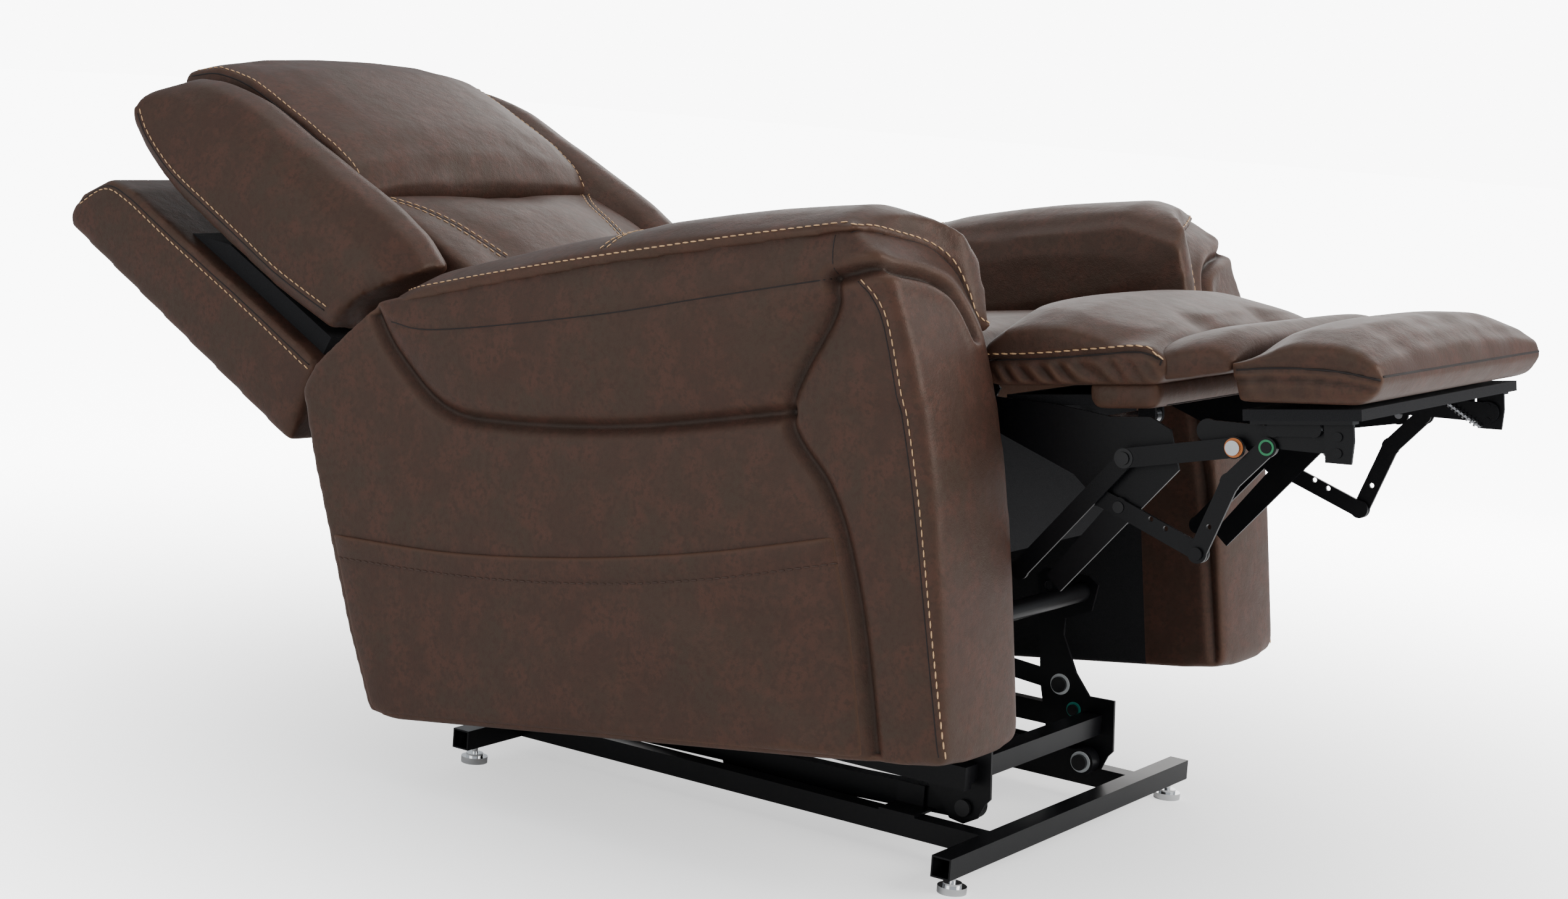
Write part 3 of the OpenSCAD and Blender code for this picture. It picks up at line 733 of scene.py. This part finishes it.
def pocket(side, name, bvh):
    """Side pocket: a second layer of leather with a hem along its top and loose folds below."""
    hem = smooth_curve(POCKET_TOP, 16)
    rear_edge = np.array([(-866, 228), (-842, 111), (-815, 14), (-800, 6)], float)
    front_edge = np.array([(-118, 247), (-100, 150), (-90, 8)], float)
    outer_face, inner_face = [], []
    rows, columns = 44, len(hem)
    for r in range(rows + 1):
        v = r / rows
        for k in range(columns):
            share = k / (columns - 1)
            top = hem[k][1]
            u = top + (7 - top) * v
            left = np.interp(-u, -rear_edge[:, 1], rear_edge[:, 0]) + 7
            right = np.interp(-u, -front_edge[:, 1], front_edge[:, 0]) - 8
            f = left + share * (right - left)
            depth = top - u
            hang = step(share, 0.3, 0.75) * step(share, 1.0, 0.86)
            fold = 4.5 * hang * step(depth, 30, 90) * math.sin((u * 0.62 + f * 0.5) / 19)
            fold += 2.4 * step(share, 0.02, 0.2) * step(share, 1.0, 0.9) * step(depth, 34, 110) \
                * math.sin((u * 0.5 - f * 0.33) / 27 + 0.8)
            rim = min(share, 1 - share, 1 - v)
            lift = 3.2 + 2.0 * math.exp(-((depth - 12) / 14) ** 2)
            lift -= 1.4 * math.exp(-((depth - HEM_DEPTH) / 3) ** 2)
            lift = (lift + max(fold, -2.4)) * step(rim, -0.004, 0.03)
            hit, normal = surface_point(bvh, side, f, u)
            outer_face.append(hit + normal * max(lift, 0.4) * MM)
            inner_face.append(hit - normal * 1.5 * MM)
    verts = outer_face + inner_face
    count = len(outer_face)
    faces = []
    for r in range(rows):
        for k in range(columns - 1):
            a = r * columns + k
            b = a + columns
            faces.append((a, b, b + 1, a + 1))
            faces.append((count + a, count + a + 1, count + b + 1, count + b))
    rim_loop = list(range(columns))
    rim_loop += [r * columns + columns - 1 for r in range(1, rows + 1)]
    rim_loop += [rows * columns + k for k in range(columns - 2, -1, -1)]
    rim_loop += [r * columns for r in range(rows - 1, 0, -1)]
    for i, a in enumerate(rim_loop):
        b = rim_loop[(i + 1) % len(rim_loop)]
        faces.append((a, b, count + b, count + a))
    return refine(face_outward(new_mesh(name, verts, faces)))


def line_inner_side(obj, side):
    """Black lining on the arm's inner side, behind the strip of leather that wraps its front edge."""
    lined_f, lined_u = -100, 350
    obj.data.materials.append(LINING)
    for face in obj.data.polygons:
        centre = CHASSIS.inverted() @ face.center
        facing = face.normal.x * side
        if facing < -0.5 and -centre.y < lined_f * MM and centre.z < lined_u * MM:
            face.material_index = 1


def cut_box(obj, low, high):
    """Takes a box, given by two local corners, out of a piece."""
    (x0, f0, u0), (x1, f1, u1) = low, high
    cutter = to_row(block("cutter", [(f0, u0), (f1, u0), (f1, u1), (f0, u1)], x0, x1), CHASSIS)
    cut = obj.modifiers.new("cut", "BOOLEAN")
    cut.object = cutter
    bake(obj)
    bpy.data.objects.remove(cutter)


# ---- Back ----

SHELL_HALF = 349
SHELL_OUTLINE = [(-104, 244), (6, 248), (18, 262), (32, 400), (47, 560), (57, 660), (49, 706), (4, 746),
                 (-28, 754), (-44, 744)]
SHELL_SEAM = [(6, 256), (22, 400), (36, 560), (46, 660), (38, 706), (-6, 742)]


def back_shell():
    """Outer back, a flat padded box with a seam near its front edge."""
    obj = remesh(block("back_shell_leather", SHELL_OUTLINE, -SHELL_HALF, SHELL_HALF), 7, rounds=3)
    co = coords(obj)
    x, f, u = side_view(co)
    normal = vertex_normals(obj)
    outer = np.abs(normal[:, 0])
    seam = distance(flat_view(f, u), smooth_curve(SHELL_SEAM))
    edge = distance(flat_view(f, u), np.array(SHELL_OUTLINE + SHELL_OUTLINE[:1], float))
    shift = outer * (crease(seam, 1.6, 5) + 5 * (1 - np.exp(-edge / 40)) - 2.5)
    rear = np.clip(normal[:, 1], 0, 1)
    shift += rear * 5 * np.clip(1 - (x / SHELL_HALF) ** 4, 0, 1)
    set_coords(obj, co + normal * shift[:, None] * MM)
    return obj


WING_SEAM = [(83, 262), (85, 362), (94, 440), (103, 517), (114, 599), (136, 660), (160, 692)]
WING_CROWN = [(214, 262), (236, 312), (250, 420), (256, 540), (248, 610), (226, 670), (196, 700)]
WING_FOOT = 250


def wing(side, name):
    """Side bolster from the seat to the head, thick at its inner crown and thin at its outer seam."""
    sections = []
    for t in np.linspace(0, 1, 12):
        u = WING_FOOT + t * 452
        seam = np.interp(u, [p[1] for p in WING_SEAM], [p[0] for p in WING_SEAM])
        high = np.interp(u, [p[1] for p in WING_CROWN], [p[0] for p in WING_CROWN])
        if t == 0:
            seam, high = seam + 6, high - 8
        mid = seam + 0.66 * (high - seam)
        deep = min(seam - 26, 56 + t * 90)
        slant = 0.75 * max(0, 1 - (u - WING_FOOT) / 170)
        ring = [(350, seam), (345, seam + 0.3 * (high - seam)), (334, mid), (308, high - 8), (280, high),
                (256, high - 8), (240, high - 36), (233, seam), (240, deep), (338, deep + 6)]
        sections.append([(side * x, n, u - slant * max(0, n - seam)) for x, n in ring])
    obj = remesh(loft(name, sections), 6, rounds=8)
    x, f, u = side_view(coords(obj))
    seam3 = smooth_curve([(350, n, u0) for n, u0 in WING_SEAM])
    hem = distance(half_view(x, f, u), seam3)
    base = step(f, 75, 60)
    add_cloth(obj, np.maximum(step(hem, 14, 5), base), 2.6, spare=0.006)
    return obj


HEAD_OUTLINE = [(126, 376), (176, 362), (206, 350), (226, 354), (246, 386), (258, 440), (266, 540),
                (268, 610), (256, 672), (224, 722), (178, 726), (143, 600), (121, 400)]
HEAD_HALF = 248
HEAD_EDGE = [(214, 358), (232, 390), (240, 440), (248, 540), (250, 610), (238, 670), (212, 716)]


def headrest():
    """Pillow that overhangs the bolsters; its side edges sit lower than its middle."""
    sections = []
    for x in (-HEAD_HALF, -240, -215, -160, -60, 60, 160, 215, 240, HEAD_HALF):
        drop = 16 * (abs(x) / HEAD_HALF) ** 5
        thick = 0 if abs(x) < 238 else 1
        ring = []
        for n, u in HEAD_OUTLINE:
            low = max(n, 206) if thick and n < 206 else n
            ring.append((x, low - drop, u))
        sections.append(ring)
    obj = remesh(loft("headrest_leather", sections), 6, rounds=6)
    x, f, u = side_view(coords(obj))
    rim = np.maximum(HEAD_HALF - np.abs(x), 0)
    add_cloth(obj, np.maximum(step(f, 190, 165), 0.95 * step(rim, 10, 4)), 2.6, spare=0.006)
    return obj


LUMBAR_SEAM = [(236, 352), (192, 300), (166, 230), (150, 165)]
LUMBAR_FACE = 214


def lumbar():
    """Low back cushion with its tail behind the seat, and a seam down each side of its middle panel."""
    outline = [(30, 40), (120, 20), (180, 70), (206, 150), (LUMBAR_FACE, 250), (212, 340), (196, 362),
               (60, 362), (50, 262), (20, 120)]
    obj = remesh(block("back_cushion_leather", outline, -238, 238), 6, rounds=6)
    x, f, u = side_view(coords(obj))
    diagonal = distance(flat_view(np.abs(x), u), smooth_curve(LUMBAR_SEAM))
    pins = np.maximum(step(f, 120, 90), 0.95 * step(diagonal, 8, 3) * step(f, 150, 180))
    add_cloth(obj, pins, 2.6, spare=0.01)
    return obj


# ---- Seat and leg rest ----

def side_hem(obj, line):
    """Distance of each vertex to a seam that runs along both ends of a pad."""
    x, f, u = side_view(coords(obj))
    return distance(half_view(x, f, u), np.column_stack([np.full(len(line), PAD_HALF), line]))


def seat():
    """Seat cushion, with a roll at its front."""
    outline = [(-735, 384), (-150, 384), (-120, 395), (-75, 395), (-60, 410), (-47, 414), (-48, 440),
               (-66, 459), (-134, 458), (-600, 460), (-735, 456)]
    obj = remesh(block("seat_cushion_leather", outline, -PAD_HALF + 1, PAD_HALF - 1), 8, rounds=5)
    x, _, u = side_view(coords(obj))
    rim = np.abs(np.abs(x) - PAD_HALF)
    add_cloth(obj, np.maximum(step(u, 410, 395), 0.9 * step(rim, 10, 4)), 2.2, spare=0.004)
    return obj


THIGH_SEAM = [(-40, 429), (40, 430), (110, 434), (160, 436), (190, 424)]
THIGH_OUTLINE = [(-38, 415), (-28, 412), (-24, 400), (178, 400), (187, 410), (190, 426), (168, 450),
                 (121, 466), (67, 482), (0, 486), (-24, 480), (-38, 466)]


def thigh_pad():
    """First pad of the leg rest: a loose top over a gathered border."""
    obj = remesh(block("thigh_pad_leather", THIGH_OUTLINE, -PAD_HALF, PAD_HALF), 6, rounds=6)
    _, _, u = side_view(coords(obj))
    hem = side_hem(obj, smooth_curve(THIGH_SEAM))
    add_cloth(obj, np.maximum(step(u, 410, 404), 0.97 * step(hem, 9, 3)), 3.0, spare=0.03)
    return obj


def pleats(obj, seam, low, depth, pitch, lean=0.8):
    """Furrow along the seam on the ends of a pad, and folds below it, which a depth of 0 leaves out."""
    co = coords(obj)
    _, f, u = side_view(co)
    normal = vertex_normals(obj)
    line = smooth_curve(seam)
    below = np.interp(f, line[:, 0], line[:, 1]) - u
    sideways = np.clip(1.4 * np.abs(normal[:, 0]) - 0.3, 0, 1)
    phase = math.tau * (f - lean * below) / pitch + 1.5 * np.sin(f / 29) + 0.7 * np.sin(f / 12 + 1)
    strength = 0.6 + 0.4 * np.sin(f / 41 + 0.6)
    folds = depth * strength * np.cos(phase) * step(below, 1, 12) * step(u, low, low + 9)
    furrow = crease(distance(flat_view(f, u), line), 2.5, 3.5)
    set_coords(obj, co + normal * (sideways * (folds + furrow))[:, None] * MM)


def crown(obj, seam, side_drop, rear_drop, rear, power=3):
    """Lowers the top of a pad towards its ends and its rear edge, so that it stands domed above its seam."""
    co = coords(obj)
    x, f, u = side_view(co)
    line = smooth_curve(seam)
    above = step(u - np.interp(f, line[:, 0], line[:, 1]), 2, 34)
    drop = side_drop * (np.abs(x) / PAD_HALF) ** power
    drop += rear_drop * np.clip((rear + 80 - f) / 80, 0, 1) ** 2
    co[:, 2] -= above * drop * MM
    set_coords(obj, co)


def bridge_pad():
    """Second pad of the leg rest, which fills the gap between the other two."""
    outline = [(172, 404), (240, 410), (262, 414), (264, 446), (240, 461), (206, 458), (172, 450)]
    obj = remesh(block("bridge_pad_leather", outline, -PAD_HALF + 8, PAD_HALF - 8), 6, rounds=6)
    _, f, u = side_view(coords(obj))
    ends = np.maximum(step(f, 262, 255), step(f, 184, 190))
    add_cloth(obj, np.maximum(0.9 * ends, step(u, 422, 416)), 2.6, spare=0.02)
    return obj


FOOT_OUTLINE = [(262, 416), (270, 382), (400, 378), (416, 385), (427, 402), (424, 430), (404, 446),
                (379, 452), (332, 454), (286, 445), (262, 432)]
FOOT_SEAM = [(260, 416), (320, 418), (380, 414), (428, 404)]
FOOT_GROOVE = [(260, 404), (320, 406), (380, 402), (428, 392)]
BRIDGE_LINE = [(172, 412), (264, 416)]


def footrest_pad():
    """Third pad of the leg rest, with a seam round its middle."""
    obj = remesh(block("footrest_pad_leather", FOOT_OUTLINE, -PAD_HALF, PAD_HALF), 6, rounds=6)
    x, f, u = side_view(coords(obj))
    hem = side_hem(obj, smooth_curve(FOOT_SEAM))
    front = distance(flat_view(f, u), np.array([(424.0, 408.0), (430.0, 408.0)]))
    post = distance(flat_view(np.abs(x), f), np.array([(250.0, 268.0), (262.0, 262.0)]))
    pins = np.maximum(step(u, 390, 384), 0.97 * np.maximum(step(hem, 9, 3), step(front, 9, 3)))
    add_cloth(obj, np.maximum(pins, 0.8 * step(post, 8, 3)), 3.0, spare=0.03)
    return obj


def lined_block(name, outline, half, body, matrix=CHASSIS, mat=None):
    """Flat piece swept from side to side, of lining or leather."""
    return cover(to_row(block(name, outline, -half, half), matrix), body, mat=mat)


# ---- Plastic rings ----

def collars(name, body, centre, r_out, r_in, x0, x1, mat):
    """A plastic ring round the same pivot on both sides of the chair."""
    count = 40
    turns = [math.tau * k / count for k in range(count)]
    verts, faces = [], []
    for side in SIDES:
        base = len(verts)
        for x, r in ((x0, r_in), (x0, r_out), (x1, r_out), (x1, r_in)):
            verts += [CHASSIS @ local(side * x, centre[0] + r * math.cos(t), centre[1] + r * math.sin(t))
                      for t in turns]
        for row in range(4):
            for k in range(count):
                a, b = base + row * count, base + (row + 1) % 4 * count
                quad = (a + k, a + (k + 1) % count, b + (k + 1) % count, b + k)
                faces.append(quad if side > 0 else quad[::-1])
    obj = new_mesh(name, verts, faces)
    obj.data.materials.append(mat)
    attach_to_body(obj, body)


# ---- Build ----

finish_cad()

arms = {name: (side, arm_body(side, f"{name}_arm_leather"), arm_cap(side, f"{name}_arm_cap_leather"))
        for side, name in zip(SIDES, ("right", "left"))}
shell = back_shell()
wings = [wing(-1, "right_wing_leather"), wing(1, "left_wing_leather")]
head = headrest()
low_back = lumbar()
seat_top = seat()
thigh = thigh_pad()
bridge = bridge_pad()
foot = footrest_pad()

caps = [cap for _, _, cap in arms.values()]
simulate([(caps[0], 7), (caps[1], 7), (wings[0], 14), (wings[1], 14), (head, 12), (low_back, 16),
          (seat_top, 14), (thigh, 12), (bridge, 9), (foot, 10)])

on_chassis = [piece for _, *pair in arms.values() for piece in pair] + [seat_top, thigh, bridge, foot]
for obj in on_chassis:
    refine(obj)
crown(thigh, THIGH_SEAM, 20, 18, -38)
crown(foot, FOOT_SEAM, 13, 10, 262)
crown(bridge, BRIDGE_LINE, 26, 0, 172, power=7)
pleats(thigh, THIGH_SEAM, 400, 2.6, 24)
pleats(foot, FOOT_SEAM, 382, 1.0, 31, lean=0.2)
pleats(foot, FOOT_GROOVE, 382, 0.0, 31)
for obj in on_chassis:
    to_row(obj, CHASSIS)
for obj in [shell, head, low_back] + wings:
    to_row(refine(obj), BACK)

NECK = ("backrest", "headrest", BACK @ local(0, 150, 320), BACK @ local(0, 150, 430))
WAIST = ("chassis", "backrest", BACK @ local(0, 110, 60), BACK @ local(0, 110, 170))

for name, (side, body, cap) in arms.items():
    cover(body, "chassis", f"{name}_arm_panel", "arm_fronts")
    line_inner_side(body, side)
    cover(cap, "chassis", f"{name}_arm_cap")
cover(shell, "backrest", "back_shell")
cover(head, "headrest", "headrest_pad")
cover(seat_top, "chassis", "seat_cushion")
cover(thigh, "thigh_rest", "thigh_pad")
cover(foot, "footrest", "footrest_pad")
cover(bridge, "thigh_rest", "bridge_pad")
cover(low_back, "", "back_cushion")
for obj in wings:
    cover(obj, "", "lower_bolsters", "upper_bolsters")

# Arm stitching: along the top, down the front edge, round the cap's nose, and two rows across the cap.
OVER = [(f, u + 6) for f, u in TOP_SEAM[:-1]] + [(-95, 589)]
AHEAD = [(f + 7, u) for f, u in FRONT_SEAM]
NOSE = [(x - 2, f + 4, u + 9) for x, f, u in NOSE_SEAM]
DOWN = -(CHASSIS.to_3x3() @ Vector((0, 0, 1)))


def across_cap(forward):
    """Path over the top of an arm cap, from side to side."""
    return [(x, forward, 700) for x in (438, 400, 300, 272)]


for name, (side, body, cap) in arms.items():
    skin, cap_skin, body_skin = tree(body, cap), tree(cap), tree(body)
    stitches(f"{name}_arm_stitches",
             [(skin, arm_path(OVER, side), inward(side)),
              (skin, arm_path(AHEAD, side), inward(side)),
              (cap_skin, space_path(NOSE, side, CHASSIS), None)]
             + [(cap_skin, space_path(across_cap(CROSS_SEAM + gap), side, CHASSIS), DOWN) for gap in (5, -5)],
             "chassis")
    seams(f"{name}_arm_seams",
          [(skin, arm_path(FRONT_SEAM, side), inward(side)),
           (body_skin, space_path(NOSE_SEAM, side, CHASSIS), None),
           (body_skin, arm_path(BAND_SEAM, side), inward(side)),
           (body_skin, arm_path(GUSSET_SEAM, side), inward(side)),
           (cap_skin, space_path(across_cap(CROSS_SEAM), side, CHASSIS), DOWN)], "chassis", radius=0.8)
    pouch = pocket(side, f"{name}_pocket_leather", body_skin)
    if side > 0:
        cut_box(body, *HANDSET_RECESS)
    cover(pouch, "chassis", "side_pockets")
    stitches(f"{name}_pocket_stitches", [(tree(pouch), arm_path(POCKET_HEM, side), inward(side))],
             "chassis", TONAL_THREAD)

# Stitching of the back: each row of thread runs beside its seam.
wing_skin = tree(*wings)
stitches("wing_stitches", both_sides(wing_skin, [(BACK_HALF, n + 8, u) for n, u in WING_SEAM], BACK), NECK)
seams("wing_seams", both_sides(wing_skin, [(BACK_HALF, n, u) for n, u in WING_SEAM], BACK), NECK, radius=1.2)

head_skin = tree(head)
stitches("headrest_stitches", both_sides(head_skin, [(HEAD_HALF - 7, n, u) for n, u in HEAD_EDGE], BACK),
         "headrest")
seams("headrest_seams", both_sides(head_skin, [(HEAD_HALF + 2, n - 6, u) for n, u in HEAD_EDGE], BACK),
      "headrest", radius=1.0)

low_skin = tree(low_back)
toward_back = -(BACK.to_3x3() @ ROW_FORWARD)
lumbar_runs = {gap: both_sides(low_skin, [(x + gap, LUMBAR_FACE, u) for x, u in LUMBAR_SEAM], BACK,
                               toward_back) for gap in (-7, 0, 7)}
stitches("lumbar_stitches", lumbar_runs[-7] + lumbar_runs[7], WAIST)
seams("lumbar_seams", lumbar_runs[0], WAIST)

shell_skin = tree(shell)
stitches("shell_stitches",
         both_sides(shell_skin, [(BACK_HALF, n - 5, u) for n, u in SHELL_SEAM], BACK, inward), "backrest")
seams("shell_seams", both_sides(shell_skin, [(BACK_HALF, n, u) for n, u in SHELL_SEAM], BACK, inward),
      "backrest", radius=0.9)

# Stitching of the leg rest, laid onto its pads from outside their ends.
PAD_SIDE = PAD_HALF + 10
thigh_skin = tree(thigh)
stitches("thigh_pad_stitches",
         both_sides(thigh_skin, [(PAD_SIDE, f, u + 7) for f, u in THIGH_SEAM], CHASSIS, inward), "thigh_rest")
seams("thigh_pad_seams", both_sides(thigh_skin, [(PAD_SIDE, f, u) for f, u in THIGH_SEAM], CHASSIS, inward),
      "thigh_rest")
foot_skin = tree(foot)
foot_front = (foot_skin, [CHASSIS @ local(x, 440, 408) for x in (-258, 0, 258)], -CHASSIS_FORWARD)
seams("footrest_seams",
      both_sides(foot_skin, [(PAD_SIDE, f, u) for f, u in FOOT_SEAM], CHASSIS, inward) + [foot_front],
      "footrest", radius=1.3)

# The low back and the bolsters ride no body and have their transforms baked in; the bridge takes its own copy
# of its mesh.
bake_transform(low_back)
for obj in wings:
    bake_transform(obj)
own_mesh(bridge)

# Padded block under the thigh board, linings, and the apron that closes the gap below the seat's front.
thigh_block = block("thigh_block_leather",
                    [(94, 390), (98, 374), (170, 374), (178, 382), (178, 402), (94, 402)], -256, 256)
cover(to_row(refine(remesh(thigh_block, 6, rounds=3)), CHASSIS), "thigh_rest")
lined_block("back_lining", [(-40, 270), (44, 262), (66, 480), (40, 570), (-20, 640)], 318, "backrest", BACK,
            mat=LINING)
lined_block("front_lining", [(-65.5, 200), (-63, 200), (-63, 372), (-65.5, 372)], 194, "chassis", mat=LINING)
lined_block("seat_front_apron", [(-70, 334), (-66, 334), (-66, 398), (-70, 398)], 222, "chassis")

collars("guide_bolt_collars", "thigh_rest", (258, 333), 10.5, 5.2, 248.1, 248.9, ORANGE_NYLON)
collars("guide_pivot_collars", "thigh_rest", (130, 320), 11, 7.2, 248.1, 248.9, RIVET)
collars("scissor_top_collars", "footrest", (292, 333), 8.6, 6.2, 242.1, 242.6, GREEN_NYLON)

# ---- Stage ----

SURROUND = 9.0
WARM_WHITE = (1, 0.97, 0.94)
LIGHTS = {
    "overhead": ((0.3, 0.4, 3.4), (0, 0, 0.5), (3.6, 3.0), 34, WARM_WHITE),
    "back_window": ((2.8, 0.7, 1.4), (0, 0, 0.6), (3.2, 2.0), 54, WARM_WHITE),
    "front_window": ((0.6, -3.2, 1.9), (0, 0, 0.5), (2.4, 1.8), 84, (1, 0.98, 0.95)),
    "side_fill": ((-3.4, 1.0, 1.4), (0, 0, 0.4), (2.4, 1.8), 24, (1, 0.97, 0.93)),
}


def stage():
    """Pale floor, and a white surround that lights the chair less than it shows."""
    bpy.ops.mesh.primitive_plane_add(size=60, location=(0, 0, 0))
    floor = bpy.context.object
    floor.name = "floor"
    mat, nodes, links, bsdf = material("floor")
    bsdf.inputs["Base Color"].default_value = (0.95, 0.95, 0.95, 1)
    bsdf.inputs["Roughness"].default_value = 0.9
    bsdf.inputs["Emission Color"].default_value = (1, 1, 1, 1)
    place = nodes.new("ShaderNodeNewGeometry").outputs["Position"]
    reach = nodes.new("ShaderNodeVectorMath")
    reach.operation = "LENGTH"
    links.new(place, reach.inputs[0])
    far = nodes.new("ShaderNodeMapRange")
    far.interpolation_type = "SMOOTHSTEP"
    far.inputs["From Min"].default_value = 0.3
    far.inputs["From Max"].default_value = 2.8
    far.inputs["To Min"].default_value = 0.9
    far.inputs["To Max"].default_value = SURROUND
    links.new(reach.outputs["Value"], far.inputs["Value"])
    seen = nodes.new("ShaderNodeLightPath")
    only_seen = nodes.new("ShaderNodeMath")
    only_seen.operation = "MULTIPLY"
    links.new(far.outputs["Result"], only_seen.inputs[0])
    links.new(seen.outputs["Is Camera Ray"], only_seen.inputs[1])
    links.new(only_seen.outputs["Value"], bsdf.inputs["Emission Strength"])
    floor.data.materials.append(mat)
    world = bpy.data.worlds.new("studio")
    bpy.context.scene.world = world
    world.use_nodes = True
    nodes, links = world.node_tree.nodes, world.node_tree.links
    glow = nodes["Background"]
    glow.inputs["Color"].default_value = (0.90, 0.95, 1.0, 1)
    glow.inputs["Strength"].default_value = 0.62
    shown = nodes.new("ShaderNodeBackground")
    shown.inputs["Color"].default_value = (1, 1, 1, 1)
    shown.inputs["Strength"].default_value = SURROUND
    path = nodes.new("ShaderNodeLightPath")
    either = nodes.new("ShaderNodeMixShader")
    links.new(path.outputs["Is Camera Ray"], either.inputs["Fac"])
    links.new(glow.outputs["Background"], either.inputs[1])
    links.new(shown.outputs["Background"], either.inputs[2])
    links.new(either.outputs["Shader"], nodes["World Output"].inputs["Surface"])


def soft_light(name, location, target, size, power, colour):
    """Rectangular light that points at a target, sizes in metres and power in watts."""
    data = bpy.data.lights.new(name, "AREA")
    data.shape = "RECTANGLE"
    data.size, data.size_y = size
    data.energy = power
    data.color = colour
    obj = bpy.data.objects.new(name, data)
    bpy.context.scene.collection.objects.link(obj)
    obj.location = location
    obj.rotation_euler = (Vector(target) - Vector(location)).to_track_quat("-Z", "Y").to_euler()


def camera():
    """Camera on the sitter's right, in front, at the height of the backrest."""
    data = bpy.data.cameras.new("camera")
    data.lens = 60.68
    data.sensor_width = 36
    data.shift_x = 0.0945
    data.shift_y = -0.0811
    obj = bpy.data.objects.new("camera", data)
    bpy.context.scene.collection.objects.link(obj)
    right, up, ahead = (0.5884, -0.8057, 0.0675), (0.0429, 0.1144, 0.9924), (0.8074, 0.5811, -0.1019)
    turn = Matrix((right, up, [-a for a in ahead])).transposed().to_4x4()
    obj.matrix_world = Matrix.Translation((-2.881, -1.726, 0.920)) @ turn
    bpy.context.scene.camera = obj


stage()
for name, light in LIGHTS.items():
    soft_light(name, *light)
camera()
